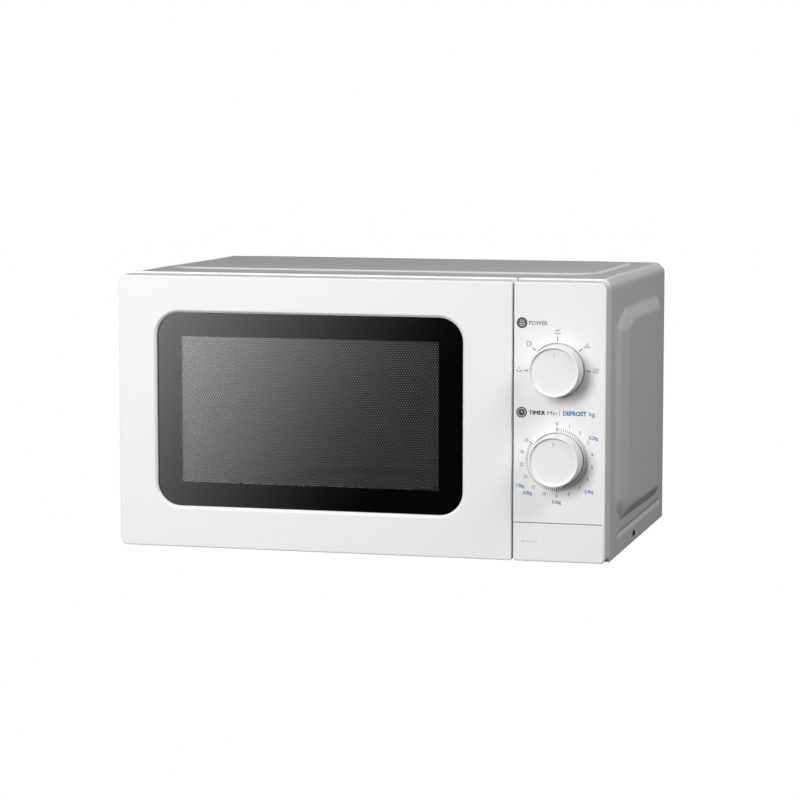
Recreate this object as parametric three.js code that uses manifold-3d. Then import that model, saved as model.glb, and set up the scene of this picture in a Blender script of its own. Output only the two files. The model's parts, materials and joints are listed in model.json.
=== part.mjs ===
// Countertop microwave oven: a wrapped sheet-steel cabinet, a drop-in cooking
// cavity with its turntable, a side-hinged door with a push-button latch, two
// rotary controls, and the high-voltage and cooling parts behind the controls.
// Millimetres. X to the right, Y to the back, Z up; the front faces -Y.
import * as THREE from 'three';
import { mergeVertices } from 'three/addons/utils/BufferGeometryUtils.js';
import Module from 'manifold-3d';

const wasm = await Module();
wasm.setup();

// ---------------------------------------------------------------- dimensions
const faceWidth = 440;            // across the white front
const faceTop = 258;              // overall height
const faceBottom = 14;            // lower edge of the front, on its feet
const bodyDepth = 310;            // front face to the back of the cabinet
const knobReach = 17;             // knobs in front of the face
const rearReach = 6;              // cord bushing behind the cabinet
const frontDepth = 24;            // depth of the door and the control panel
const gap = 0.3;                  // air between neighbouring pieces
const sheet = 1;                  // modelled sheet-metal thickness

const front = knobReach - (knobReach + bodyDepth + rearReach) / 2;
const rear = front + bodyDepth;
const plate = front + frontDepth + 0.5;   // front surface of the steel front plate
const halfFace = faceWidth / 2;
const seamDoor = 137.9;           // right edge of the door
const seamPanel = 139.4;          // left edge of the control panel
const buttonTop = 47.3;           // upper edge of the door button
const wallX = 219.3;              // outer face of the cabinet sides
const coverTop = 255.3;
const coverBottom = 11.6;

// cooking cavity, inner faces
const cavity = { x0: -198.5, x1: 107.5, y0: plate + 1.1, y1: plate + 273.1, z0: 36.4, z1: 237.4 };
const tableX = (cavity.x0 + cavity.x1) / 2;
const tableY = (cavity.y0 + cavity.y1) / 2;

// window opening through the door frame
const opening = { x0: -185, x1: 94.3, z0: 50.5, z1: 223.4, r: 21.5 };

// moving-part axes
const hinge = { x: -213.5, y: front + 14 };
const powerAxis = { x: 177.6, z: 180.2 };
const timerAxis = { x: 177.6, z: 102.9 };
const fanAxis = { x: 164, z: 182 };
const leverAxis = { y: front + 30.5, z: 56 };
const hooks = [66, 196];          // underside of the lower and upper latch arm

// ------------------------------------------------------------- solid helpers
// Turns a closed three.js geometry into a solid, dropping collapsed faces and
// flipping it if its faces point inward.
function solid(geometry) {
  const clean = geometry.clone();
  clean.deleteAttribute('normal');
  clean.deleteAttribute('uv');
  const merged = mergeVertices(clean, 1e-4);
  const position = merged.attributes.position;
  const index = merged.index.array;
  const faces = [];
  let volume = 0;
  const a = new THREE.Vector3();
  const b = new THREE.Vector3();
  const c = new THREE.Vector3();
  for (let i = 0; i < index.length; i += 3) {
    const [p, q, r] = [index[i], index[i + 1], index[i + 2]];
    if (p === q || q === r || r === p) continue;
    faces.push([p, q, r]);
    a.fromBufferAttribute(position, p);
    b.fromBufferAttribute(position, q);
    c.fromBufferAttribute(position, r);
    volume += a.dot(b.cross(c));
  }
  const order = volume < 0 ? [0, 2, 1] : [0, 1, 2];
  const triVerts = new Uint32Array(faces.flatMap((f) => order.map((k) => f[k])));
  const vertProperties = new Float32Array(position.array);
  return new wasm.Manifold(new wasm.Mesh({ numProp: 3, vertProperties, triVerts }));
}

const join = (first, ...rest) => rest.reduce((sum, piece) => sum.add(piece), first);
const cut = (first, ...rest) => rest.reduce((left, piece) => left.subtract(piece), first);

function block(x0, x1, y0, y1, z0, z1) {
  const g = new THREE.BoxGeometry(x1 - x0, y1 - y0, z1 - z0);
  g.translate((x0 + x1) / 2, (y0 + y1) / 2, (z0 + z1) / 2);
  return solid(g);
}

// Local frames for shapes drawn in a plane: the third vector is the way they
// are extruded.
const X = new THREE.Vector3(1, 0, 0);
const Y = new THREE.Vector3(0, 1, 0);
const Z = new THREE.Vector3(0, 0, 1);
const frames = {
  x: new THREE.Matrix4().makeBasis(Y, Z, X),
  y: new THREE.Matrix4().makeBasis(X, Z, Y.clone().negate()),
  z: new THREE.Matrix4().makeBasis(X, Y, Z),
};

// Extrudes an outline along one axis, from low to high. Outlines are (y,z)
// pairs for x, (x,z) pairs for y and (x,y) pairs for z.
function prism(axis, outline, low, high) {
  const shape = new THREE.Shape(outline.map(([u, v]) => new THREE.Vector2(u, v)));
  const g = new THREE.ExtrudeGeometry(shape, { depth: high - low, bevelEnabled: false });
  g.applyMatrix4(frames[axis]);
  const shift = axis === 'y' ? high : low;
  const move = { x: [shift, 0, 0], y: [0, shift, 0], z: [0, 0, shift] }[axis];
  g.translate(...move);
  return solid(g);
}

// Solid of revolution about a line along one axis through a centre point; the
// profile is a list of [radius, distance along the axis] pairs.
function turned(axis, centre, profile, segments = 24) {
  const points = profile.map(([r, h]) => new THREE.Vector2(r, h));
  if (profile[0][0] > 0 || profile[profile.length - 1][0] > 0) points.push(points[0].clone());
  const g = new THREE.LatheGeometry(points, segments);
  const spin = {
    x: new THREE.Matrix4().makeBasis(Y, X, Z.clone().negate()),
    y: new THREE.Matrix4().makeBasis(X, Y, Z),
    z: new THREE.Matrix4().makeBasis(X, Z, Y.clone().negate()),
  }[axis];
  g.applyMatrix4(spin);
  g.translate(...centre);
  return solid(g);
}

// Plain round bar starting at a point and running along one axis.
function bar(axis, start, radius, length, segments = 20) {
  return turned(axis, start, [[0, 0], [radius, 0], [radius, length], [0, length]], segments);
}

// Rounded rectangle outline; corner radii in order low-low, high-low,
// high-high, low-high, or one radius for all four.
function rounded(u0, u1, v0, v1, radius, steps = 5) {
  const radii = Array.isArray(radius) ? radius : [radius, radius, radius, radius];
  const corners = [[u0, v0, 1, 1], [u1, v0, -1, 1], [u1, v1, -1, -1], [u0, v1, 1, -1]];
  const points = [];
  corners.forEach(([u, v, su, sv], k) => {
    const r = radii[k];
    if (r <= 0) {
      points.push([u, v]);
      return;
    }
    for (let i = 0; i <= steps; i += 1) {
      const angle = Math.PI * (1 + k / 2 + i / steps / 2);
      points.push([u + su * r + r * Math.cos(angle), v + sv * r + r * Math.sin(angle)]);
    }
  });
  return points;
}

// Solid between two outlines with the same number of points, lying in planes
// across one axis; it starts at low and ends at high.
function loft(axis, outlineLow, outlineHigh, low, high) {
  const place = {
    x: (u, v, w) => [w, u, v],
    y: (u, v, w) => [u, w, v],
    z: (u, v, w) => [u, v, w],
  }[axis];
  const count = outlineLow.length;
  const positions = [];
  outlineLow.forEach(([u, v]) => positions.push(...place(u, v, low)));
  outlineHigh.forEach(([u, v]) => positions.push(...place(u, v, high)));
  const index = [];
  for (let i = 0; i < count; i += 1) {
    const j = (i + 1) % count;
    index.push(i, j, count + j, i, count + j, count + i);
  }
  [outlineLow, outlineHigh].forEach((outline, side) => {
    const contour = outline.map(([u, v]) => new THREE.Vector2(u, v));
    THREE.ShapeUtils.triangulateShape(contour, []).forEach(([p, q, r]) => {
      const base = side * count;
      if (side === 0) index.push(base + p, base + r, base + q);
      else index.push(base + p, base + q, base + r);
    });
  });
  const g = new THREE.BufferGeometry();
  g.setAttribute('position', new THREE.Float32BufferAttribute(positions, 3));
  g.setIndex(index);
  return solid(g);
}

// Rounded rectangle slab across Y whose front edge is bevelled.
function facedSlab(x0, x1, z0, z1, radii, y0, y1, bevel) {
  const full = rounded(x0, x1, z0, z1, radii, 4);
  const small = rounded(x0 + bevel, x1 - bevel, z0 + bevel, z1 - bevel,
    radii.map((r) => Math.max(r - bevel, 0.3)), 4);
  return join(loft('y', small, full, y0, y0 + bevel), prism('y', full, y0 + bevel - 0.01, y1));
}

// Coil of round wire about Z with flat-capped ends.
function coil(cx, cy, z0, z1, radius, wire, turns, stepsPerTurn = 8, sides = 4) {
  const steps = turns * stepsPerTurn;
  const positions = [];
  for (let i = 0; i <= steps; i += 1) {
    const angle = (2 * Math.PI * i) / stepsPerTurn;
    const z = z0 + wire + ((z1 - z0 - 2 * wire) * i) / steps;
    for (let k = 0; k < sides; k += 1) {
      const t = (2 * Math.PI * k) / sides;
      const r = radius + wire * Math.cos(t);
      positions.push(cx + r * Math.cos(angle), cy + r * Math.sin(angle), z + wire * Math.sin(t));
    }
  }
  const index = [];
  for (let i = 0; i < steps; i += 1) {
    for (let k = 0; k < sides; k += 1) {
      const j = (k + 1) % sides;
      const [p, q, r, s] = [i * sides + k, i * sides + j, (i + 1) * sides + j, (i + 1) * sides + k];
      index.push(p, s, r, p, r, q);
    }
  }
  for (let k = 1; k < sides - 1; k += 1) {
    index.push(0, k, k + 1);
    const last = steps * sides;
    index.push(last, last + k + 1, last + k);
  }
  const g = new THREE.BufferGeometry();
  g.setAttribute('position', new THREE.Float32BufferAttribute(positions, 3));
  g.setIndex(index);
  return solid(g);
}

// ------------------------------------------------------------- part registry
const group = new THREE.Group();
group.name = 'microwave_oven';

function add(name, body, color, extra = {}) {
  const mesh = body.getMesh();
  const g = new THREE.BufferGeometry();
  g.setAttribute('position', new THREE.Float32BufferAttribute(Array.from(mesh.vertProperties), 3));
  g.setIndex(Array.from(mesh.triVerts));
  g.computeVertexNormals();
  const material = new THREE.MeshStandardMaterial({ color, flatShading: true, ...extra });
  const part = new THREE.Mesh(g, material);
  part.name = name;
  group.add(part);
}

const white = 0xe9e9e8;
const paint = 0xc9c9c6;
const zinc = 0xb9bdc0;
const darkPlastic = 0x3a3c3f;
const copper = 0xb87333;
const glass = 0x15171a;

// ---------------------------------------------------------- cabinet and frame
// Outline of one raised side field at its foot and on its plateau, as
// (depth behind the front face, height) pairs.
const fieldFoot = [[51.5, 49], [62, 39], [260, 39], [260, 228.5], [86, 228.5], [51.5, 212]];
const fieldPlateau = [[74, 58], [80, 50], [253, 50], [253, 218], [91, 218], [74, 208.5]];
const fieldRise = 4.5;

function sideField(sign, skin) {
  const shift = (outline) => outline.map(([d, z]) => [front + d, z]);
  const foot = shift(fieldFoot);
  const plateau = shift(fieldPlateau);
  const inner = sign * (wallX - skin - 1.5);
  const low = sign * (wallX - skin);
  const high = sign * (wallX - skin + fieldRise);
  return join(loft('x', foot, plateau, low, high), prism('x', foot, Math.min(inner, low), Math.max(inner, low)));
}

// Long pressed-in bead under the raised field.
function sideBead(sign, skin) {
  const x0 = sign * (wallX - skin - 2);
  const x1 = sign * (wallX - skin + 1.5);
  const deep = rounded(front + 64, front + 286, 27.3, 29.9, 1.2, 2);
  const wide = rounded(front + 58, front + 292, 23.0, 34.2, 5.5, 2);
  return sign > 0 ? loft('x', deep, wide, x0, x1) : loft('x', deep, wide, x0, x1);
}

function topField(skin) {
  const low = coverTop - skin;
  const foot = rounded(-203, 194, front + 80, front + 291, 30, 4);
  const plateau = rounded(-198, 189, front + 85, front + 286, 26, 4);
  return join(loft('z', foot, plateau, low, low + 1.5), prism('z', foot, low - 1, low));
}

function cabinetCover() {
  const y0 = plate + 0.2;
  const shell = (skin, bottom, yA, yB) => prism('y',
    rounded(-wallX + skin, wallX - skin, bottom, coverTop - skin, [0, 0, 9 - skin, 9 - skin], 4), yA, yB);
  let outer = join(shell(0, coverBottom, y0, rear), sideField(1, 0), sideField(-1, 0), topField(0));
  outer = cut(outer, sideBead(1, 0), sideBead(-1, 0));
  let hollow = join(shell(sheet, coverBottom - 5, y0 - 5, rear - sheet),
    sideField(1, sheet), sideField(-1, sheet), topField(sheet));
  hollow = cut(hollow, sideBead(1, sheet), sideBead(-1, sheet));
  const back = prism('y', rounded(-205, 205, coverBottom - 5, 242, [0, 0, 6, 6], 2), rear - 5, rear + 1);
  let cover = cut(outer, hollow, back);
  rearScrews.forEach(([x, z]) => {
    cover = cut(cover, bar('y', [x, rear - 3, z], 2.1, 6, 12));
  });
  [-1, 1].forEach((sign) => {
    cover = cut(cover, bar('x', [sign > 0 ? 214 : -224, front + 146, 19.6], 2.1, 10, 12));
  });
  return cover;
}

const rearScrews = [[-212, 225], [-212, 70], [212, 225], [212, 70]];
const footSpots = [[-180, 100], [180, 100], [-180, 280], [180, 280]];

function slotRows(x0, dx, columns, y0, dy, rows, length, breadth, z0, z1) {
  let all = null;
  for (let i = 0; i < columns; i += 1) {
    for (let j = 0; j < rows; j += 1) {
      const x = x0 + dx * i;
      const y = y0 + dy * j;
      const slot = block(x, x + breadth, y, y + length, z0, z1);
      all = all ? all.add(slot) : slot;
    }
  }
  return all;
}

function basePlate() {
  let base = block(-217.6, 217.6, plate + 1.4, rear - 2.7, 12.6, 13.6);
  [-1, 1].forEach((s) => {
    const edge = [s * 217.6, s * 216.6].sort((p, q) => p - q);
    base = base.add(block(edge[0], edge[1], plate + 6, rear - 6, 13, 22.6));
    base = cut(base, bar('x', [s > 0 ? 212 : -222, front + 146, 19.6], 2.1, 10, 12));
  });
  base = cut(base, slotRows(128, 16, 5, front + 196, 40, 2, 30, 8, 11, 15),
    slotRows(-60, 16, 5, front + 236, 30, 1, 30, 8, 11, 15));
  footSpots.forEach(([x, d]) => {
    base = cut(base, bar('z', [x, front + d, 11], 3.1, 5, 12));
  });
  // stiffening ribs pressed up across the base
  [-120, -20].forEach((x) => {
    base = base.add(block(x, x + 12, front + 50, front + 120, 13, 15));
    base = cut(base, block(x + 1, x + 11, front + 51, front + 119, 12, 14));
  });
  return base;
}

function rearPanel() {
  const y0 = rear - 2.4;
  const y1 = rear - 1.4;
  let panel = prism('y', rounded(-217.9, 217.9, 12.6, 253.9, [0, 0, 7, 7], 3), y0, y1);
  for (let i = 0; i < 6; i += 1) {
    panel = cut(panel, block(122 + 15 * i, 130 + 15 * i, y0 - 1, y1 + 1, 150, 178),
      block(122 + 15 * i, 130 + 15 * i, y0 - 1, y1 + 1, 186, 214));
  }
  for (let i = 0; i < 6; i += 1) {
    panel = cut(panel, block(-176 + 15 * i, -168 + 15 * i, y0 - 1, y1 + 1, 200, 228));
  }
  panel = cut(panel, bar('y', [168, y0 - 1, 44], 9, 4));
  rearScrews.forEach(([x, z]) => {
    panel = cut(panel, bar('y', [x, y0 - 1, z], 2.1, 4, 12));
  });
  // pressed rib fields
  [[-190, -20], [0, 110]].forEach(([a, b]) => {
    const foot = rounded(a, b, 50, 130, 12, 1);
    const flat = rounded(a + 4, b - 4, 54, 126, 9, 1);
    panel = join(panel, loft('y', foot, flat, y1 - 0.1, y1 + 1.0));
    panel = cut(panel, loft('y', foot, flat, y0 - 0.1, y0 + 1.0));
  });
  return panel;
}

function frontPlate() {
  let face = prism('y', rounded(-218, 218, 12, 253.9, [0, 0, 7.5, 7.5], 3), plate, plate + sheet);
  const y0 = plate - 1;
  const y1 = plate + 2;
  face = cut(face, prism('y', rounded(cavity.x0, cavity.x1, cavity.z0, cavity.z1, 10, 4), y0, y1));
  hooks.forEach((z) => {
    face = cut(face, block(119.5, 132, y0, y1, z - 6, z + 14));
  });
  // hinge arm notches, control openings and the button post opening
  face = cut(face, block(-219, -208.4, y0, y1, 245.7, 248.3), block(-219, -208.4, y0, y1, 18, 21),
    prism('y', rounded(149, 207, 158, 204, 3, 2), y0, y1),
    prism('y', rounded(149, 207, 78, 130, 3, 2), y0, y1),
    block(140, 149, y0, y1, 35.6, 41));
  return face;
}

function cavityLiner() {
  const { x0, x1, y0, y1, z0, z1 } = cavity;
  const outer = prism('y', rounded(x0 - 1, x1 + 1, z0 - 1, z1 + 1, 11, 4), y0, y1 + 1);
  const inner = prism('y', rounded(x0, x1, z0, z1, 10, 4), y0 - 1, y1);
  let liner = cut(outer, inner, bar('z', [tableX, tableY, z0 - 3], 8, 6));
  liner = cut(liner, block(x1 - 2, x1 + 3, front + 112, front + 188, 116, 158));
  // lamp and air holes in the right wall, exhaust holes in the left wall
  for (let i = 0; i < 4; i += 1) {
    for (let j = 0; j < 2; j += 1) {
      const y = front + 77 + 7 * i;
      liner = cut(liner, bar('x', [x1 - 2, y, 205 + 8 * j], 2, 5, 6),
        bar('x', [x0 - 3, y + 153, 196 + 8 * j], 2, 5, 6));
    }
  }
  return liner;
}

function foot(x, d) {
  return turned('z', [x, front + d, 0],
    [[0, 0], [9, 0], [10.5, 1.5], [10.5, 10], [8.5, 12.5], [2.8, 12.5], [2.8, 17], [0, 17]], 14);
}

function screw(axis, start, direction) {
  const s = direction;
  return turned(axis, start, [[0, 0], [1.7, 0], [1.7, s * 5.2], [4, s * 5.2], [4, s * 6.4], [2.8, s * 7.3],
    [0, s * 7.3]], 8);
}

// ---------------------------------------------------------------------- door
const doorLeft = -halfFace;

function doorFrame() {
  let frame = facedSlab(doorLeft, seamDoor, faceBottom, faceTop, [6.5, 1.2, 1.2, 7.5], front, front + frontDepth, 1.8);
  frame = cut(frame, prism('y', rounded(doorLeft + 2.5, seamDoor - 2.5, faceBottom + 2.5, faceTop - 2.5, 4, 3),
    front + 4, front + frontDepth + 1));
  const hole = rounded(opening.x0, opening.x1, opening.z0, opening.z1, opening.r, 6);
  const mouth = rounded(opening.x0 - 1.8, opening.x1 + 1.8, opening.z0 - 1.8, opening.z1 + 1.8, opening.r + 1.8, 6);
  frame = cut(frame, prism('y', hole, front - 1, front + 5), loft('y', mouth, hole, front - 0.01, front + 2));
  // hinge bosses inside the left corners
  [[233, 245.7], [20.8, 33.5]].forEach(([a, b]) => {
    frame = frame.add(bar('z', [hinge.x, hinge.y, a], 4.6, b - a, 16));
    frame = frame.add(block(-218.5, hinge.x, hinge.y - 4, hinge.y + 4, a, b));
    frame = frame.add(block(hinge.x - 3, hinge.x + 3, front + 3.5, hinge.y, a, b));
  });
  frame = cut(frame, bar('z', [hinge.x, hinge.y, 237.4], 2.15, 9, 24), bar('z', [hinge.x, hinge.y, 19], 2.15, 10, 24));
  // slots the hinge arms swing through
  [[245.7, 248.3], [18.2, 20.8]].forEach(([a, b]) => {
    frame = cut(frame, block(-221, -207.5, hinge.y - 8.4, front + 25, a, b));
  });
  // the back-left corner is rounded about the hinge so it clears the cabinet
  const keepOut = cut(block(-222, hinge.x, hinge.y, front + 26, 10, 262), bar('z', [hinge.x, hinge.y, 8], 10.2, 256, 32));
  frame = cut(frame, keepOut);
  // seat for the latch spring
  frame = frame.add(block(121, 129, front + 3.5, front + 18, 226.3, 230));
  return frame;
}

function doorGlass() {
  return prism('y', rounded(-187.5, 97, 48, 226, 23, 5), front + 4.2, front + 7.2);
}

function screenPanel() {
  const y0 = front + 8;
  const tray = (x0, x1, z0, z1, r) => cut(
    prism('y', rounded(x0, x1, z0, z1, r, 3), y0 + 0.5, front + 20),
    prism('y', rounded(x0 + 1, x1 - 1, z0 + 1, z1 - 1, r - 1, 3), y0, front + 21));
  let panel = join(prism('y', rounded(-206, 117, 22, 250, 4, 3), y0, y0 + sheet),
    tray(-206, 117, 22, 250, 4), tray(-180, 90, 54, 218, 14));
  return panel;
}

function innerFilm() {
  return prism('y', rounded(-178.4, 88.4, 55.6, 216.4, 12, 4), front + 9.4, front + 10);
}

function chokeCover() {
  let ring = prism('y', rounded(-206, 133, 19.5, 252.5, 5, 3), front + 20.6, front + 23.8);
  ring = cut(ring, prism('y', rounded(-176, 86, 58, 214, 12, 4), front + 20, front + 25));
  hooks.forEach((z) => {
    ring = cut(ring, block(119.8, 130.2, front + 20, front + 25, z - 5.2, z + 12.6));
  });
  return ring;
}

function latchHook() {
  let hook = block(121.2, 128.8, front + 11, front + 18, 60, 206);
  hooks.forEach((z) => {
    const outline = [[front + 17, z], [front + 39.8, z], [front + 39.8, z - 3.6], [front + 41.2, z - 3.6],
      [front + 44, z + 1], [front + 44, z + 5.5], [front + 40.5, z + 8], [front + 17, z + 8]];
    hook = hook.add(prism('x', outline, 121.2, 128.8));
  });
  // spring pilot pin on the upper end
  hook = hook.add(bar('z', [125, front + 14.5, 205.5], 1.6, 10, 12));
  return hook;
}

function hingePlate(upper) {
  const z = upper ? [246, 248] : [18.5, 20.5];
  const pinZ = upper ? 238.2 : 20;
  const tab = upper ? [232, 248] : [18.5, 35];
  let arm = join(block(hinge.x - 4.4, hinge.x + 4.4, hinge.y, plate + 2.4, z[0], z[1]),
    bar('z', [hinge.x, hinge.y, z[0]], 4.4, 2, 24));
  arm = arm.add(bar('z', [hinge.x, hinge.y, pinZ], 2, 8, 24));
  arm = arm.add(block(-215, -200.6, plate + 1.2, plate + 2.4, tab[0], tab[1]));
  return arm;
}

// ------------------------------------------------- control panel and controls
function controlPanel() {
  let panel = facedSlab(seamPanel, halfFace, faceBottom, faceTop, [1.2, 4.5, 7.5, 1.2], front, front + frontDepth, 1.8);
  panel = cut(panel,
    prism('y', rounded(seamPanel + 2.2, halfFace - 2.2, buttonTop + 3.2, faceTop - 2.5, 3, 2), front + 3, front + 25),
    block(130, 218.4, front - 1, front + 20, 10, buttonTop + 0.4),
    block(130, 149, front + 19, front + 25, 35.6, 41));
  [powerAxis, timerAxis].forEach((a) => {
    panel = cut(panel, bar('y', [a.x, front - 1, a.z], 4.5, 5, 24));
  });
  return panel;
}

function doorButton() {
  const x0 = seamPanel;
  const x1 = 218.1;
  let button = facedSlab(x0, x1, faceBottom, buttonTop, [1.2, 2.6, 0.6, 0.6], front, front + 14, 1.0);
  button = cut(button, prism('y', rounded(x0 + 2, x1 - 2, faceBottom + 2, buttonTop - 2, 1, 2), front + 3, front + 15));
  // post that reaches the release lever, with a web to the face
  button = button.add(block(141, 147, front + 2, front + 32.4, 36.6, 40));
  // engraved mark
  button = cut(button, block(147.4, 148.2, front - 1, front + 0.4, 29.6, 34.2), block(148, 161.5, front - 1, front + 0.4, 31.6, 32.3));
  return button;
}

function knob(axis) {
  const profile = [[0, 30.5], [3, 30.5], [3, -3], [7, -3], [7, -9], [20.5, -9], [21.5, -0.5], [23.8, -0.5], [22.2, -14],
    [21.6, -16.4], [20.6, -17], [19.6, -16.2], [18, -15.2], [0, -14.6]];
  let body = turned('y', [axis.x, front, axis.z], profile, 28);
  body = cut(body, block(axis.x - 0.7, axis.x + 0.7, front - 18, front - 14.2, axis.z + 12, axis.z + 17));
  return body;
}

function timerUnit() {
  const a = timerAxis;
  let unit = join(block(a.x - 27, a.x + 27, front + 27, front + 52, 79.5, 128.5),
    bar('y', [a.x, front + 51.9, a.z], 21, 12, 28),
    block(a.x - 33, a.x + 33, front + 26, front + 28, 84, 92));
  unit = cut(unit, bar('y', [a.x, front + 25, a.z], 3.2, 12, 24));
  // rows of terminals on the right side
  [88, 100, 112].forEach((z) => {
    unit = unit.add(block(a.x + 26.9, a.x + 34, front + 36, front + 42, z, z + 1.2));
  });
  return unit;
}

function timerBell() {
  return turned('y', [timerAxis.x, front + 64.4, timerAxis.z], [[0, 0], [3, 0], [3, 6], [14, 5], [18, 0.5],
    [19, 1.2], [15, 7], [0, 10.5]], 20);
}

function powerSelector() {
  const a = powerAxis;
  let unit = join(block(a.x - 24, a.x + 24, front + 27, front + 50, 160, 202),
    block(a.x - 33, a.x + 33, front + 26, front + 28, 176, 184));
  unit = cut(unit, bar('y', [a.x, front + 25, a.z], 3.2, 12, 24));
  [166, 178, 190].forEach((z) => {
    unit = unit.add(block(a.x - 30, a.x - 23.9, front + 38, front + 44, z, z + 1.2));
  });
  return unit;
}

// ------------------------------------------------------------ door interlocks
const switchSpots = { lower: [72, 48], upper: [200, 48], monitor: [120, 40] };

function interlockBracket() {
  let bracket = join(block(112, 114.4, front + 26, front + 70, 50, 222),
    block(110, 115.5, front + 25.8, front + 28, 50, 62),
    block(112, 119, front + 25.8, front + 28, 212, 222));
  // keeper under the upper hook
  bracket = bracket.add(block(114, 129, front + 33.5, front + 39.2, 182, 191.9));
  bracket = cut(bracket, prism('x', [[front + 33, 187], [front + 36, 192.5], [front + 33, 192.5]], 115, 130));
  // lever pivot pin
  bracket = bracket.add(bar('x', [114, leverAxis.y, leverAxis.z], 2, 36, 24));
  // pins that hold the switches
  Object.values(switchSpots).forEach(([z, d]) => {
    [[-8, 12], [12, 4]].forEach(([dz, dy]) => {
      bracket = bracket.add(bar('x', [114, front + d + dy, z + dz], 1.4, 14, 8));
    });
  });
  return bracket;
}

function microSwitch([z, d], x0) {
  let body = block(x0, x0 + 10, front + d, front + d + 16, z - 12, z + 16);
  [[-8, 12], [12, 4]].forEach(([dz, dy]) => {
    body = cut(body, bar('x', [x0 - 1, front + d + dy, z + dz], 1.6, 12, 8));
  });
  body = body.add(block(x0 + 3.5, x0 + 6.5, front + d - 2.5, front + d + 0.1, z - 1.5, z + 1.5));
  [-6, 2, 9].forEach((dz) => {
    body = body.add(block(x0 + 4.6, x0 + 5.4, front + d + 15.9, front + d + 22, z + dz - 2, z + dz + 2));
  });
  return body;
}

function releaseLever() {
  const { y, z } = leverAxis;
  let lever = bar('x', [116, y, z], 4.2, 32, 24);
  lever = join(lever, prism('x', [[y + 1, z - 2], [y + 3, z - 3], [y + 13.2, z + 2.6], [y + 13.2, z + 5.2], [y + 1, z + 4]],
    121.2, 128.8), block(141, 147, y + 2.6, y + 5.4, 35.6, z), block(141, 147, y, y + 5.4, z - 2, z + 2));
  return cut(lever, bar('x', [110, y, z], 2.12, 45, 24));
}

// ---------------------------------------------------------- microwave supply
function magnetron() {
  const [y0, y1, z0, z1] = [front + 110, front + 190, 156, 232];
  const [yc, zc] = [(y0 + y1) / 2, 195];
  let tube = cut(block(133.6, 192, y0, y1, z0, z1), block(135.6, 190, y0 - 1, y1 + 1, z0 + 2, z1 - 2));
  tube = tube.add(bar('x', [134, yc, zc], 19, 57, 14));
  for (let i = 0; i < 5; i += 1) {
    tube = tube.add(block(142 + 10 * i, 143 + 10 * i, y0 + 4, y1 - 4, z0 + 1, z1 - 1));
  }
  tube = tube.add(bar('x', [132.2, yc, zc], 17, 2, 14));
  tube = tube.add(turned('x', [116, yc, zc], [[0, 0], [6, 0], [8, 1.5], [8, 17], [0, 17]], 14));
  tube = tube.add(block(191.9, 212, yc - 21, yc + 21, 178, 214));
  tube = tube.add(block(194, 200, yc - 30, yc - 20.9, 186, 188)).add(block(204, 210, yc - 30, yc - 20.9, 186, 188));
  return tube;
}

function waveguide() {
  const [y0, y1] = [front + 104, front + 196];
  let guide = block(108.8, 131.6, y0, y1, 108, 236);
  guide = cut(guide, block(107, 130.4, y0 + 1.2, y1 - 1.2, 109.2, 234.8));
  return cut(guide, bar('x', [129, front + 150, 195], 12, 5, 24));
}

function waveguideCover() {
  let mica = prism('x', rounded(front + 100, front + 200, 104, 170, 5, 2), 106.4, 107.2);
  return mica;
}

function transformer() {
  const [yc, z0] = [front + 150, 13.8];
  let core = join(block(124, 214, yc - 28, yc + 28, z0, z0 + 2), block(128, 210, yc - 24, yc + 24, z0 + 1.9, 86));
  // winding windows seen from the ends, filled by the two coils
  const winding = (z, h) => prism('z', rounded(146, 192, yc - 42, yc + 42, 14, 4), z, z + h);
  core = join(core, winding(28, 17), winding(50, 22));
  for (let i = 0; i < 3; i += 1) {
    core = core.add(block(161 + 7 * i, 165 + 7 * i, yc - 48, yc - 41, 69, 71.2));
  }
  return core;
}

function capacitor() {
  const can = prism('y', rounded(124, 178, 30, 62, 15.9, 5), front + 206, front + 288);
  let body = can;
  [140, 162].forEach((x) => {
    body = join(body, bar('y', [x, front + 201, 46], 5, 5.2, 12), block(x - 3, x + 3, front + 193, front + 201.2, 45.4, 46.6));
  });
  return body;
}

function capacitorClamp() {
  let band = cut(prism('y', rounded(122.6, 179.4, 28.6, 63.4, 17.2, 5), front + 240, front + 252),
    prism('y', rounded(123.7, 178.3, 29.7, 62.3, 16.2, 5), front + 239, front + 253));
  band = band.add(block(145, 157, front + 240, front + 252, 14.9, 29.4)).add(block(140, 162, front + 238, front + 254, 13.8, 15));
  return band;
}

function diode() {
  return join(bar('x', [184, front + 214, 30], 5, 22, 16), bar('x', [205.8, front + 214, 30], 1.4, 5, 8),
    block(210, 211, front + 208, front + 220, 24, 36), bar('x', [176.5, front + 214, 30], 1.2, 7.6, 8));
}

function fanMotor() {
  const { x, z } = fanAxis;
  const y0 = front + 250;
  let motor = cut(block(x - 30, x + 30, y0, y0 + 16, z - 46, z + 22), block(x - 20, x + 20, y0 - 1, y0 + 17, z - 36, z - 18));
  motor = motor.add(block(x - 19, x + 19, y0 - 6, y0 + 22, z - 38, z - 17));
  motor = motor.add(bar('y', [x, y0 - 7, z], 12, 30, 20));
  motor = motor.add(bar('y', [x, y0 - 22, z], 2.5, 16, 24));
  // brackets that carry the motor on the shroud
  [-1, 1].forEach((s) => {
    const edge = [s * 22, s * 28].sort((p, q) => p - q);
    motor = motor.add(block(x + edge[0], x + edge[1], y0 - 8.6, y0 + 0.1, z - 42, z - 36));
    motor = motor.add(block(x + edge[0], x + edge[1], y0 - 8.6, y0 + 0.1, z + 14, z + 20));
  });
  return motor;
}

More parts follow.
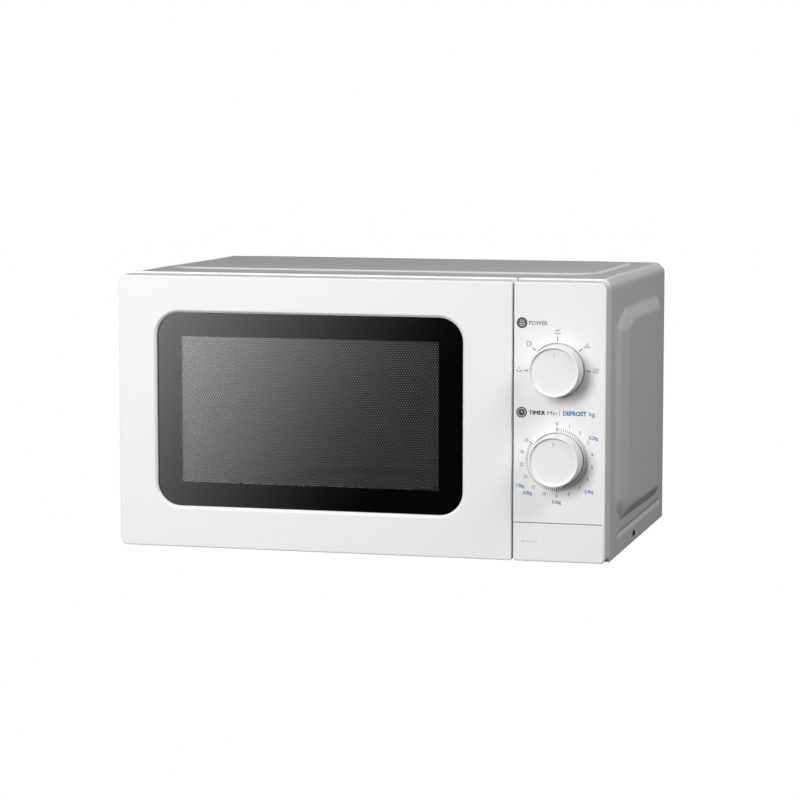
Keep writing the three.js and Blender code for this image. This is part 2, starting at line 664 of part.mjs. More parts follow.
function fanShroud() {
  const { x, z } = fanAxis;
  const y0 = front + 218;
  let shroud = join(prism('y', rounded(111, 215.6, 124, 241, 4, 2), y0, y0 + 2), bar('y', [x, y0 + 1, z], 48, 20, 28));
  shroud = cut(shroud, bar('y', [x, y0 - 1, z], 46, 20, 28), bar('y', [x, y0 - 1, z], 40, 30, 28));
  // spokes across the back of the ring
  shroud = join(shroud, block(x - 47, x + 47, y0 + 19, y0 + 22.8, z - 41.5, z - 36.5),
    block(x - 41, x + 41, y0 + 19, y0 + 22.8, z + 14.5, z + 19.5));
  return shroud;
}

function fanBlade() {
  const { x, z } = fanAxis;
  const y0 = front + 224;
  let fan = bar('y', [x, y0, z], 9, 11, 24);
  for (let i = 0; i < 5; i += 1) {
    const g = new THREE.BoxGeometry(36, 1.4, 20);
    g.rotateX(0.5);
    g.translate(25, 5.5, 0);
    g.rotateY((2 * Math.PI * i) / 5);
    g.translate(x, y0, z);
    fan = fan.add(solid(g));
  }
  return cut(fan, bar('y', [x, y0 + 2, z], 2.6, 12, 24));
}

function ovenLamp() {
  let lamp = cut(block(109, 134, front + 75, front + 101, 203, 231), block(108, 132, front + 77, front + 99, 205, 229));
  lamp = lamp.add(bar('x', [120, front + 88, 217], 7, 13, 20));
  lamp = lamp.add(turned('x', [111, front + 88, 217], [[0, 0], [5, 1.5], [8, 6], [6, 10], [0, 10]], 20));
  return lamp.add(block(133.9, 140, front + 87.4, front + 88.6, 210, 224));
}

function thermostat(x, y, z) {
  let body = join(bar('z', [x, y, z], 8, 7, 12), block(x - 12, x + 12, y - 4, y + 4, z, z + 1));
  [-4, 4].forEach((d) => {
    body = body.add(block(x + d - 0.4, x + d + 0.4, y - 3, y + 3, z + 6.9, z + 12));
  });
  return body;
}

function filterBoard() {
  const z = 242;
  let board = block(30, 104, front + 205, front + 285, z, z + 1.6);
  board = join(board, block(38, 52, front + 212, front + 240, z + 1.5, z + 10),
    block(60, 72, front + 212, front + 236, z + 1.5, z + 9),
    turned('z', [86, front + 232, z + 1.5], [[5, 0], [11, 0], [11, 8], [5, 8]], 12),
    bar('y', [48, front + 250, z + 6], 2.6, 22, 12),
    block(45, 51, front + 249, front + 254, z + 1.5, z + 8), block(45, 51, front + 268, front + 273, z + 1.5, z + 8),
    block(74, 98, front + 260, front + 274, z + 1.5, z + 9));
  [[34, 209], [100, 209], [34, 281], [100, 281]].forEach(([x, d]) => {
    board = board.add(bar('z', [x, front + d, 238.6], 2.5, 3.5, 10));
  });
  return board;
}

// ------------------------------------------------------------------ turntable
function turntableMotor() {
  let motor = join(turned('z', [tableX, tableY, 18], [[0, 0], [25, 0], [25, 14], [0, 14]], 24),
    bar('z', [tableX, tableY, 31.9], 7, 3.2, 20), block(tableX - 34, tableX + 34, tableY - 5, tableY + 5, 30, 32),
    block(tableX + 18, tableX + 34, tableY - 8, tableY + 8, 20, 29));
  return cut(motor, bar('z', [tableX, tableY, 26], 4.2, 10, 24));
}

function coupler() {
  let hub = join(bar('z', [tableX, tableY, 28], 4, 12, 24), bar('z', [tableX, tableY, 38], 9.5, 13.4, 24));
  for (let i = 0; i < 3; i += 1) {
    const g = new THREE.BoxGeometry(24, 7, 5.6);
    g.translate(18, 0, 48.6);
    g.rotateZ((2 * Math.PI * i) / 3 + 0.3);
    g.translate(tableX, tableY, 0);
    hub = hub.add(solid(g));
  }
  return hub;
}

function glassTray() {
  return turned('z', [tableX, tableY, 51.8],
    [[0, 0], [104, 0], [108, 1.2], [122.5, 9], [122.5, 11.5], [120.5, 11.5], [106, 4.4], [102, 4], [0, 4]], 36);
}

const rollerTrack = 92;
const rollerRadius = 7.2;
const rollerHeight = cavity.z0 + 0.35 + rollerRadius;

function rollerRing() {
  let ring = turned('z', [tableX, tableY, rollerHeight], [[84, -3], [87, -3], [87, 3], [84, 3]], 36);
  for (let i = 0; i < 3; i += 1) {
    const axle = turned('x', [0, 0, 0], [[0, 85], [1.8, 85], [1.8, 98], [0, 98]], 12);
    ring = ring.add(axle.rotate([0, 0, 120 * i]).translate([tableX, tableY, rollerHeight]));
  }
  return ring;
}

function roller(i) {
  const wheel = turned('x', [0, 0, 0], [[1.92, 89], [6, 89], [rollerRadius, 90], [rollerRadius, 95], [6, 96],
    [1.92, 96]], 16);
  return wheel.rotate([0, 0, 120 * i]).translate([tableX, tableY, rollerHeight]);
}

function cordBushing() {
  return turned('y', [168, rear - 9, 44], [[4, 0], [8.6, 0], [8.6, 7.9], [12, 7.9], [12, 10], [9, 15], [4, 15]], 16);
}

// ------------------------------------------------------------------- assembly
add('cabinet_cover', cabinetCover(), paint, { roughness: 0.5 });
add('base_plate', basePlate(), zinc, { metalness: 0.8 });
add('rear_panel', rearPanel(), zinc, { metalness: 0.8 });
add('front_plate', frontPlate(), paint, { roughness: 0.5 });
add('cavity_liner', cavityLiner(), 0xd8d6cf, { roughness: 0.5 });
footSpots.forEach(([x, d], i) => add(`foot_${i + 1}`, foot(x, d), darkPlastic));
rearScrews.forEach(([x, z], i) => add(`rear_screw_${i + 1}`, screw('y', [x, rear - 5.1, z], 1), zinc, { metalness: 1 }));
add('side_screw_right', screw('x', [wallX - 5.1, front + 146, 19.6], 1), 0x44464a, { metalness: 1 });
add('side_screw_left', screw('x', [-wallX + 5.1, front + 146, 19.6], -1), 0x44464a, { metalness: 1 });
add('cord_bushing', cordBushing(), darkPlastic);
add('upper_hinge', hingePlate(true), zinc, { metalness: 0.9 });
add('lower_hinge', hingePlate(false), zinc, { metalness: 0.9 });

add('door_frame', doorFrame(), white, { roughness: 0.35 });
add('door_glass', doorGlass(), glass, { roughness: 0.05 });
add('door_screen', screenPanel(), 0x2b2c2e, { metalness: 0.6 });
add('door_film', innerFilm(), 0x9aa3a8, { transparent: true, opacity: 0.4 });
add('choke_cover', chokeCover(), 0x55585c);
add('latch_hook', latchHook(), 0xf0f0ee);
add('latch_spring', coil(125, front + 14.5, 206.3, 226, 3, 0.5, 6), zinc, { metalness: 1 });

add('control_panel', controlPanel(), white, { roughness: 0.35 });
add('door_button', doorButton(), white, { roughness: 0.35 });
add('power_knob', knob(powerAxis), white, { roughness: 0.35 });
add('timer_knob', knob(timerAxis), white, { roughness: 0.35 });
add('timer_unit', timerUnit(), 0x6b6f74);
add('timer_bell', timerBell(), zinc, { metalness: 1 });
add('power_selector', powerSelector(), 0x53575c);

add('interlock_bracket', interlockBracket(), 0xe6e2d4);
add('lower_switch', microSwitch(switchSpots.lower, 117), 0x25262a);
add('upper_switch', microSwitch(switchSpots.upper, 117), 0x25262a);
add('monitor_switch', microSwitch(switchSpots.monitor, 117), 0x9c2b26);
add('release_lever', releaseLever(), 0xe6e2d4);

add('magnetron', magnetron(), zinc, { metalness: 0.9 });
add('waveguide', waveguide(), zinc, { metalness: 0.9 });
add('waveguide_cover', waveguideCover(), 0xb9a585);
add('hv_transformer', transformer(), copper, { metalness: 0.5 });
add('hv_capacitor', capacitor(), 0xc4c8cb, { metalness: 0.9 });
add('capacitor_clamp', capacitorClamp(), zinc, { metalness: 0.9 });
add('hv_diode', diode(), 0x202124);
add('fan_motor', fanMotor(), 0x7d7f80, { metalness: 0.5 });
add('fan_shroud', fanShroud(), darkPlastic);
add('fan_blade', fanBlade(), 0xd9dad6);
add('oven_lamp', ovenLamp(), 0xe8e0c8);
add('magnetron_cutout', thermostat(160, front + 150, 232.3), 0x1f1f21);
add('cavity_cutout', thermostat(-20, front + 120, 238.7), 0x1f1f21);
add('filter_board', filterBoard(), 0x2f6b3c);

add('turntable_motor', turntableMotor(), zinc, { metalness: 0.7 });
add('turntable_coupler', coupler(), 0xe9e9e4);
add('glass_tray', glassTray(), 0xcfe0e2, { transparent: true, opacity: 0.5, roughness: 0.05 });
add('roller_ring', rollerRing(), 0xe9e9e4);
[0, 1, 2].forEach((i) => add(`roller_${i + 1}`, roller(i), 0xd0d0cc));

export default group;
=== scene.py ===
"""Countertop microwave oven: finer outer pieces, finishes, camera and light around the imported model.

Lengths are millimetres until a mesh is made. X is to the right, Y to the back and Z up, as in the
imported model. Depths are measured back from the front face, and heights from the floor.
"""
import json
import math

import bmesh
import bpy
from mathutils import Euler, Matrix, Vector


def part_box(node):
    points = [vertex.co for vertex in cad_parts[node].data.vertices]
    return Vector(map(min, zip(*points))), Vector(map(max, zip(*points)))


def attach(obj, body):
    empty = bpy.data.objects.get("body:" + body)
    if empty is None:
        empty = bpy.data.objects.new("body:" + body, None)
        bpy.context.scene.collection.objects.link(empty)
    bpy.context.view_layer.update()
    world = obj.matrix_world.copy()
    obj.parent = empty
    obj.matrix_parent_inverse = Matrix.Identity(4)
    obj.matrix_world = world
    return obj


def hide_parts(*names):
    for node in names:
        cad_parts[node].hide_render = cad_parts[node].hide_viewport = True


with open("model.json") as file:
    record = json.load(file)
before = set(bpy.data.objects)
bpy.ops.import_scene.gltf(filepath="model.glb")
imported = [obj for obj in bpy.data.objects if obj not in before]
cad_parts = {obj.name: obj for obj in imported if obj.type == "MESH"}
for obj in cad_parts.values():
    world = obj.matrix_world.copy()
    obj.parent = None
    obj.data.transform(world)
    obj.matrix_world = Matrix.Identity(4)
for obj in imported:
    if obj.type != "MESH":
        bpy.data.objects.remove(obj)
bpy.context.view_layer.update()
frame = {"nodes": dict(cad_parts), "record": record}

MM = 0.001


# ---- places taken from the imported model

def box(node):
    """Lowest and highest corner of a node, in millimetres."""
    low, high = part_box(node)
    return low / MM, high / MM


COVER_LOW, COVER_HIGH = box("cabinet_cover")
DOOR_LOW, DOOR_HIGH = box("door_frame")
PANEL_LOW, PANEL_HIGH = box("control_panel")
BUTTON_LOW, BUTTON_HIGH = box("door_button")
GLASS_LOW, GLASS_HIGH = box("door_glass")
SCREEN_LOW, SCREEN_HIGH = box("door_screen")
FRONT = DOOR_LOW.y
REAR_FACE = box("rear_panel")[1].y
KNOB_TIP = box("power_knob")[0].y


def middle_of(node, *axes):
    """Middle of a node along each given axis, in millimetres."""
    low, high = box(node)
    return tuple((low[axis] + high[axis]) / 2 for axis in axes)


X, Y, Z = range(3)
POWER_AXIS = middle_of("power_knob", X, Z)
TIMER_AXIS = middle_of("timer_knob", X, Z)


# ---- driving dimensions

CORNER_STEPS = 10
EDGE_STEPS = 5
BEND_STEPS = 5

# Cabinet cover. Depths run back from the front face.
COVER_HALF = 219.3          # half width over the plain side walls
COVER_CORNER = 9.0          # top corner, across and down
COVER_BEND = 6.0            # bends at either side of that corner's slanted band
COVER_SHEET = 1.0
FIELD_RISE = (3.3, 3.0)     # outer and inner step of the raised field on each side
TOP_FIELD = (-203.0, 194.0, 80.0, 291.0)    # field on the top: left, right, first and last depth
TOP_FIELD_RADIUS = 30.0
TOP_RISE = 1.5
TOP_SLOPE = 1.5
TOP_CROWN = 1.9             # the top swells this much behind the door and settles to the back edge
CROWN_SETTLE = (60.0, 300.0)
BEAD = (70.0, 290.0, 29.2)  # groove along the foot of each side: first and last depth, and height
BEAD_HALF = 3.0
BEAD_WALL = 2.6
BEAD_DEPTH = 1.5

# Door and panel mouldings. Rectangles are left, right, low and high.
EDGE_ROUND = 1.2            # rounding of the front edges
BACK_ROUND = 1.2            # rounding of the back edges
TOP_DROP = (2.2, 1.2)       # top edge below the raised back lip: at the front, and at the lip's foot
TOP_LIP = 17.5              # depth of that lip
DOOR_CORNERS = (6.5, 1.6, 1.6, 7.5)
PANEL_CORNERS = (1.6, 4.5, 7.5, 1.6)
PANEL_RECT = (PANEL_LOW.x, PANEL_HIGH.x, PANEL_LOW.z, PANEL_HIGH.z)
SKIN = 4.0                  # front wall
WALL = 2.5                  # side walls
DOOR_HOLLOW_DROP = 1.4      # further drop of each hollow, to leave a wall under the lowered edge
PANEL_HOLLOW_DROP = 3.2
SEAM = 0.7                  # open line over the door button
BUTTON_BACK = FRONT + 14.0
BUTTON_POST = (141, 147, 36.6, 40.0)
KNOB_BORE = 7.4
KNOB_RECESS = (23.8, 2.2)   # radius and depth of the round pocket the knob's skirt sits in

# Window
WINDOW = (-185.0, 94.3, 50.5, 223.4)
WINDOW_RADIUS = 21.5
LIP_WIDTH = 1.6             # slanted lip round the window, across and into the face
LIP_DEPTH = 1.8
MESH_AREA = (-164.0, 72.0, 72.0, 202.0)
MESH_SPARE = 3.0            # the holes run on this far behind the printed border
HOLE_PITCH = 2.3
HOLE_RADIUS = 0.64
SCREEN_MOUTH = (-180, 90, 54, 218)
SCREEN_MOUTH_RADIUS = 12

# Hinge
HINGE = (-213.5, FRONT + 14.0)
HINGE_CLEAR = 10.2          # the door's back edge stays this close to the hinge axis
HINGE_SLOTS = ((245.7, 248.3), (18.2, 20.8))
BOSS_HEIGHTS = ((233.0, 245.7), (20.8, 33.5))
PIN_DEPTHS = ((239.4, 245.7), (18.8, 27.0))
PIN_BORE = 2.15
SPRING_SEAT = (121, 129, 226.3, 230)

# Printing
PANEL_FACE_GAP = 0.06       # print stands this far in front of the face
WHITE_GAP = 0.04            # and white print this far in front of dark print
TICK_MINOR = (24.8, 27.4)   # inner and outer end of each kind of mark, from the knob's axis
TICK_MAJOR = (24.6, 28.4)
POWER_TICK = (25.3, 28.9)
LABEL_RADIUS = 31.3
LABEL_CAP = 2.9
LABEL_SQUEEZE = 0.86
SIGN_PLACE = (7.1, 40.5)    # round signs: from the panel's left edge, and above the knob's axis

# Camera and light, in metres, degrees and watts
CAMERA_PLACE = (0.6629, -2.5846, 0.4225)
CAMERA_TURN = (83.835, -0.044, 14.388)
CAMERA_LENS = 130.83
MIDDLE = (0.0, 0.0, 0.13)
LIGHTS = (
    # name, place, aim, size, watts
    ("key_low", (-1.75, -3.4, 0.95), MIDDLE, (1.7, 1.7), 82),
    ("key_high", (-1.2, -3.2, 2.2), MIDDLE, (1.6, 1.6), 64),
    ("side", (2.15, -0.85, 2.15), MIDDLE, (1.3, 1.0), 48),
    ("rim", (0.35, 2.8, 1.15), MIDDLE, (1.0, 0.45), 3.2),
    ("rear_right", (1.8, 1.6, 1.8), MIDDLE, (1.2, 1.0), 2.5),
    ("rear_low", (-1.1, 2.2, 0.125), (0.0, 0.16, 0.125), (2.2, 0.22), 16),
)
AMBIENT = 0.03
FLOOR_HALF = 30.0
CARD_LOW = (-1.6, -2.2, -0.6)
CARD_HIGH = (0.1, -2.2, 0.5)
CARD_STRENGTH = 4.6


# ---- mesh helpers

def add_object(name, data):
    """A new object in the scene."""
    obj = bpy.data.objects.new(name, data)
    bpy.context.scene.collection.objects.link(obj)
    return obj


def finished_mesh(obj):
    """Mesh of an object as its modifiers leave it."""
    bpy.context.view_layer.update()
    graph = bpy.context.evaluated_depsgraph_get()
    return bpy.data.meshes.new_from_object(obj.evaluated_get(graph), depsgraph=graph)


def mesh_object(name, vertices, faces, closed=True):
    """An object from millimetre vertices; a closed mesh gets its faces turned outwards."""
    mesh = bpy.data.meshes.new(name)
    mesh.from_pydata([Vector(v) * MM for v in vertices], [], faces)
    if closed:
        work = bmesh.new()
        work.from_mesh(mesh)
        bmesh.ops.recalc_face_normals(work, faces=work.faces)
        work.to_mesh(mesh)
        work.free()
    return add_object(name, mesh)


def add_piece(name, vertices, faces, body, slot, sharp=32.0, closed=True, materials=None, indices=None):
    """A mesh piece from millimetre vertices, in the finish of its slot unless materials are given."""
    obj = mesh_object(name, vertices, faces, closed)
    for material in materials or [MATERIALS[slot]]:
        obj.data.materials.append(material)
    if indices:
        obj.data.polygons.foreach_set("material_index", indices)
    shade(obj, sharp)
    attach(obj, body)
    return obj


def shade(obj, sharp):
    """Smooth shading with sharp edges kept and large flat faces left flat."""
    mesh = obj.data
    mesh.polygons.foreach_set("use_smooth", [True] * len(mesh.polygons))
    mesh.set_sharp_from_angle(angle=math.radians(sharp))
    normals = obj.modifiers.new("flat_faces", "WEIGHTED_NORMAL")
    normals.keep_sharp = True


def apply_modifiers(obj):
    """Replaces the piece's mesh with its modified one."""
    mesh = finished_mesh(obj)
    obj.modifiers.clear()
    obj.data = mesh


def cut(obj, cutters, sharp=32.0):
    """Takes the closed cutter meshes, each (vertices, faces), out of the piece."""
    obj.modifiers.clear()
    tools = []
    for vertices, faces in cutters:
        tool = mesh_object("cutter", vertices, faces)
        boolean = obj.modifiers.new("cut", "BOOLEAN")
        boolean.operation = "DIFFERENCE"
        boolean.solver = "EXACT"
        boolean.object = tool
        tools.append(tool)
    apply_modifiers(obj)
    for tool in tools:
        bpy.data.objects.remove(tool, do_unlink=True)
    shade(obj, sharp)


def rounded(rect, radii):
    """Rounded rectangle as (x, z) points from the bottom left corner round to the top left."""
    left, right, low, high = rect
    corners = ((left, low, 180), (right, low, 270), (right, high, 0), (left, high, 90))
    points = []
    for (x, z, start), radius in zip(corners, radii):
        middle_x = x + radius if x == left else x - radius
        middle_z = z + radius if z == low else z - radius
        for step in range(CORNER_STEPS + 1):
            angle = math.radians(start + 90 * step / CORNER_STEPS)
            points.append((middle_x + radius * math.cos(angle), middle_z + radius * math.sin(angle)))
    return points


def inset(rect, amount):
    """The rectangle drawn in on all sides."""
    left, right, low, high = rect
    return left + amount, right - amount, low + amount, high - amount


def ring(rect, radii, amount, y):
    """Rounded rectangle inset by an amount, standing at depth y."""
    smaller = [max(radius - amount, 0.3) for radius in radii]
    return [(x, y, z) for x, z in rounded(inset(rect, amount), smaller)]


def loft(rings, closed=False, caps=True):
    """Vertices and faces through rings of equal length, closed into a loop or capped at both ends."""
    count = len(rings[0])
    vertices = [point for one in rings for point in one]
    faces = []
    spans = len(rings) if closed else len(rings) - 1
    for row in range(spans):
        here = row * count
        there = (row + 1) % len(rings) * count
        for column in range(count):
            after = (column + 1) % count
            faces.append((here + column, there + column, there + after, here + after))
    if caps and not closed:
        faces.append(tuple(range(count)))
        faces.append(tuple(reversed(range(len(vertices) - count, len(vertices)))))
    return vertices, faces


def block(low, high):
    """A box between two corners."""
    rect = (low[0], high[0], low[2], high[2])
    return loft([ring(rect, (0,) * 4, 0, y) for y in (low[1], high[1])])


def quarter(radius):
    """Rounding of an outer front edge: (inset, depth) from the face round to the side."""
    turns = [math.radians(90 * step / EDGE_STEPS) for step in range(EDGE_STEPS + 1)]
    return [(radius - radius * math.sin(turn), radius - radius * math.cos(turn)) for turn in turns]


def soften(points, radius):
    """Open (radius, distance) outline with the corners between its ends rounded off."""
    result = [points[0]]
    for before, corner, after in zip(points, points[1:], points[2:]):
        here = Vector(corner)
        back = Vector(before) - here
        ahead = Vector(after) - here
        reach = min(radius, back.length * 0.45, ahead.length * 0.45)
        start = here + back.normalized() * reach
        end = here + ahead.normalized() * reach
        for step in range(BEND_STEPS + 1):
            t = step / BEND_STEPS
            point = start * (1 - t) ** 2 + here * 2 * t * (1 - t) + end * t * t
            result.append((point.x, point.y))
    result.append(points[-1])
    return result


def circle(centre, radius, steps):
    """Points on a full circle."""
    turns = [2 * math.pi * step / steps for step in range(steps)]
    return [(centre[0] + radius * math.cos(turn), centre[1] + radius * math.sin(turn)) for turn in turns]


def turned_y(profile, axis, steps=96, bored=False):
    """A (radius, y) profile turned about the axis (x, z); a bored one is a closed loop."""
    rings = [[(x, y, z) for x, z in circle(axis, radius, steps)] for radius, y in profile]
    return loft(rings, closed=bored, caps=not bored)


def turned_z(profile, centre, steps):
    """A (radius, z) profile turned about the upright axis (x, y)."""
    return loft([[(x, y, z) for x, y in circle(centre, radius, steps)] for radius, z in profile])


def joined(*parts):
    """Several (vertices, faces) lists as one."""
    vertices = []
    faces = []
    for more_vertices, more_faces in parts:
        base = len(vertices)
        vertices.extend(more_vertices)
        faces.extend(tuple(index + base for index in face) for face in more_faces)
    return vertices, faces


def smoothstep(value):
    """An eased climb from 0 to 1, level at both ends."""
    value = min(max(value, 0.0), 1.0)
    return value * value * (3 - 2 * value)


# ---- materials

def new_node(tree, kind, **inputs):
    """A node of a kind with its named inputs set; an underscore stands for a space."""
    node = tree.nodes.new("ShaderNode" + kind)
    for name, value in inputs.items():
        node.inputs[name.replace("_", " ")].default_value = value
    return node


def node_material(name):
    """A new material, with its node tree and principled shader."""
    material = bpy.data.materials.new(name)
    material.use_nodes = True
    tree = material.node_tree
    shader = next(node for node in tree.nodes if node.type == "BSDF_PRINCIPLED")
    return material, tree, shader


def bare_material(name):
    """A new material, with an empty node tree that holds only the output."""
    material, tree, _ = node_material(name)
    tree.nodes.clear()
    return material, tree, new_node(tree, "OutputMaterial")


def blend(tree, factor, first, second, target):
    """Blends two shaders by a factor and feeds the target node's surface."""
    mix = new_node(tree, "MixShader")
    tree.links.new(factor, mix.inputs["Fac"])
    tree.links.new(first.outputs[0], mix.inputs[1])
    tree.links.new(second.outputs[0], mix.inputs[2])
    tree.links.new(mix.outputs["Shader"], target.inputs["Surface"])


def noise_node(tree, scale, detail=3.0, stretch=(1, 1, 1)):
    """Noise in the model's own space; scale is in repeats per metre."""
    where = new_node(tree, "TexCoord")
    mapping = new_node(tree, "Mapping", Scale=stretch)
    noise = new_node(tree, "TexNoise", Scale=scale, Detail=detail)
    tree.links.new(where.outputs["Object"], mapping.inputs["Vector"])
    tree.links.new(mapping.outputs["Vector"], noise.inputs["Vector"])
    return noise


def vary(tree, source, low, high, socket):
    """Maps a noise's middle range onto low..high and feeds a socket."""
    span = new_node(tree, "MapRange", From_Min=0.3, From_Max=0.7, To_Min=low, To_Max=high)
    tree.links.new(source.outputs["Fac"], span.inputs["Value"])
    tree.links.new(span.outputs["Result"], socket)


def tint(tree, source, dark, light, socket):
    """Blends two colours by a noise and feeds a colour socket."""
    ramp = new_node(tree, "ValToRGB")
    for stop, position, colour in zip(ramp.color_ramp.elements, (0.3, 0.7), (dark, light)):
        stop.position = position
        stop.color = (*colour, 1)
    tree.links.new(source.outputs["Fac"], ramp.inputs["Fac"])
    tree.links.new(ramp.outputs["Color"], socket)


def bump(tree, shader, source, height):
    """Grain of a height in metres on the shader's normal."""
    node = new_node(tree, "Bump", Strength=1.0, Distance=height)
    tree.links.new(source.outputs["Fac"], node.inputs["Height"])
    tree.links.new(node.outputs["Normal"], shader.inputs["Normal"])


def surface(name, colour, spread, rough, grain, height, metallic=0.0, blotch=40, stretch=(1, 1, 1),
            sheen=0.5):
    """A moulded, painted or plated surface: slow tint, uneven gloss and fine grain."""
    material, tree, shader = node_material(name)
    slow = noise_node(tree, blotch, stretch=stretch)
    dark = tuple(channel * (1 - spread) for channel in colour)
    light = tuple(min(channel * (1 + spread), 1) for channel in colour)
    tint(tree, slow, dark, light, shader.inputs["Base Color"])
    vary(tree, noise_node(tree, blotch * 6, stretch=stretch), rough[0], rough[1], shader.inputs["Roughness"])
    bump(tree, shader, noise_node(tree, grain, 4.0, stretch), height)
    shader.inputs["Metallic"].default_value = metallic
    shader.inputs["Specular IOR Level"].default_value = sheen
    return material


def grey(value):
    """An even grey."""
    return (value, value, value)


def clear_material(name, colour, gloss_rough, fresnel_ior):
    """A thin clear sheet: it lets light straight through and mirrors by angle."""
    material, tree, out = bare_material(name)
    through = new_node(tree, "BsdfTransparent", Color=(*colour, 1))
    gloss = new_node(tree, "BsdfGlossy")
    vary(tree, noise_node(tree, 60), gloss_rough, gloss_rough * 1.5, gloss.inputs["Roughness"])
    angle = new_node(tree, "Fresnel", IOR=fresnel_ior)
    blend(tree, angle.outputs["Fac"], through, gloss, out)
    return material


def glass_material(name, colour):
    """Pressed glass with a slightly uneven skin."""
    material, tree, shader = node_material(name)
    shader.inputs["Transmission Weight"].default_value = 1.0
    shader.inputs["IOR"].default_value = 1.5
    shader.inputs["Base Color"].default_value = (*colour, 1)
    vary(tree, noise_node(tree, 300), 0.02, 0.06, shader.inputs["Roughness"])
    bump(tree, shader, noise_node(tree, 120, 2.0), 3e-5)
    return material


FINISHES = {
    # colour, its spread, roughness range, grain, its height, then metallic, blotch, stretch and sheen
    "white_plastic": ((0.845, 0.845, 0.84), 0.006, (0.36, 0.44), 2600, 6e-6, 0.0, 40, (1, 1, 1), 0.28),
    "cabinet_paint": (grey(0.67), 0.012, (0.36, 0.44), 1100, 1.2e-5),
    "cavity_paint": ((0.46, 0.46, 0.45), 0.03, (0.34, 0.44), 900, 2e-5),
    "zinc_steel": ((0.60, 0.61, 0.61), 0.08, (0.34, 0.5), 700, 1e-5, 0.8, 160),
    "dark_glass": (grey(0.002), 0.1, (0.035, 0.05), 400, 1e-7),
    "black_screen": (grey(0.014), 0.05, (0.38, 0.5), 2200, 4e-6),
    "dark_plastic": (grey(0.02), 0.1, (0.4, 0.55), 2400, 1e-5),
    "grey_plastic": ((0.16, 0.16, 0.165), 0.05, (0.42, 0.55), 2400, 1e-5),
    "cream_plastic": ((0.72, 0.69, 0.62), 0.03, (0.38, 0.5), 2400, 1e-5),
    "red_plastic": ((0.42, 0.03, 0.02), 0.05, (0.38, 0.5), 2400, 1e-5),
    "rubber": (grey(0.018), 0.12, (0.6, 0.75), 3000, 2e-5),
    "aluminium": ((0.78, 0.79, 0.80), 0.03, (0.28, 0.4), 900, 1e-5, 1.0, 200, (1, 1, 6)),
    "mica": ((0.42, 0.36, 0.28), 0.16, (0.35, 0.55), 500, 2e-5, 0.0, 260),
    "laminations": ((0.20, 0.20, 0.21), 0.2, (0.35, 0.5), 900, 4e-5, 0.8, 60, (1, 30, 1)),
    "board": ((0.10, 0.20, 0.09), 0.1, (0.4, 0.55), 1500, 1e-5),
    "lamp": ((0.80, 0.78, 0.70), 0.04, (0.15, 0.25), 800, 5e-6),
}
MATERIALS = {slot: surface(slot, *values) for slot, values in FINISHES.items()}
MATERIALS["clear_film"] = clear_material("clear_film", (0.96, 0.96, 0.95), 0.08, 1.45)
MATERIALS["clear_glass"] = glass_material("clear_glass", (0.94, 0.97, 0.96))
DARK_STEEL = surface("dark_steel", grey(0.05), 0.10, (0.32, 0.5), 2200, 8e-6, 0.5)
PRINT_DARK = surface("print_dark", (0.045, 0.045, 0.05), 0.08, (0.45, 0.55), 2600, 2e-6)
PRINT_BLUE = surface("print_blue", (0.006, 0.20, 0.48), 0.06, (0.45, 0.55), 2600, 2e-6)
# grey laid on the door button as painted shade of a moulded groove
GROOVE_SHADE_GREY = surface("painted_groove_shade", grey(0.30), 0.05, (0.45, 0.55), 2600, 2e-6)
PRINT_WHITE = surface("print_white", grey(0.80), 0.02, (0.45, 0.55), 2600, 2e-6)
PANE_CLEAR = clear_material("pane_clear", (0.94, 0.94, 0.94), 0.035, 1.62)


def dress_nodes():
    """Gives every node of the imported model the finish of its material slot."""
    for part in frame["record"]["subparts"]:
        node = frame["nodes"][part["node"]]
        node.data.materials.clear()
        node.data.materials.append(MATERIALS[part["material_slot"]])


# ---- cabinet cover

def edge_climb(point, edges):
    """How far a point has climbed from a foot outline: 0 or less outside it, 1 or more past its slopes."""
    climbs = []
    for start, end, width in edges:
        along = Vector(end) - Vector(start)
        across = Vector((-along.y, along.x)).normalized()
        climbs.append((Vector(point) - Vector(start)).dot(across) / width)
    return min(climbs)


def outline(points, widths):
    """Counter-clockwise outline as edges (start, end, slope width)."""
    return [(points[i], points[(i + 1) % len(points)], widths[i]) for i in range(len(points))]


# Raised field on each side, (depth, height) points: its outer step, then the smaller step inside it.
OUTER_STEP = outline(
    [(52, 57), (78, 41.2), (264, 38.8), (264, 227.2), (92, 227.2), (52, 214.6)],
    [7, 5.4, 3, 5.2, 6, 8],
)
INNER_STEP = outline(
    [(60, 61.5), (83.5, 46.6), (258, 44.2), (258, 222), (95.8, 222), (60, 210.6)],
    [8, 5.6, 5, 5.0, 8.5, 24],
)


def rounded_climb(value):
    """A straight climb from 0 to 1 with its two ends eased a little."""
    ease = 0.12
    value = min(max(value, 0.0), 1.0)
    return (1 - ease) * value + ease * smoothstep(value)


def side_height(depth, z):
    """Outward height of the side wall at a depth and a height."""
    outer = rounded_climb(edge_climb((depth, z), OUTER_STEP))
    inner = rounded_climb(edge_climb((depth, z), INNER_STEP))
    return FIELD_RISE[0] * outer + FIELD_RISE[1] * inner - BEAD_DEPTH * bead(depth, z)


def bead(depth, z):
    """Depth share, 0 to 1, of the long groove along the foot of each side."""
    first, last, middle = BEAD
    past_end = max(first - depth, depth - last, 0.0)
    off_line = math.hypot(z - middle, past_end)
    return rounded_climb((BEAD_HALF - off_line) / BEAD_WALL)


def top_height(x, depth):
    """Height of the raised field on the top, a rounded rectangle."""
    left, right, first, last = TOP_FIELD
    radius = TOP_FIELD_RADIUS
    out_x = abs(x - (left + right) / 2) - ((right - left) / 2 - radius)
    out_y = abs(depth - (first + last) / 2) - ((last - first) / 2 - radius)
    outside = math.hypot(max(out_x, 0), max(out_y, 0)) + min(max(out_x, out_y), 0) - radius
    return TOP_RISE * rounded_climb(-outside / TOP_SLOPE)


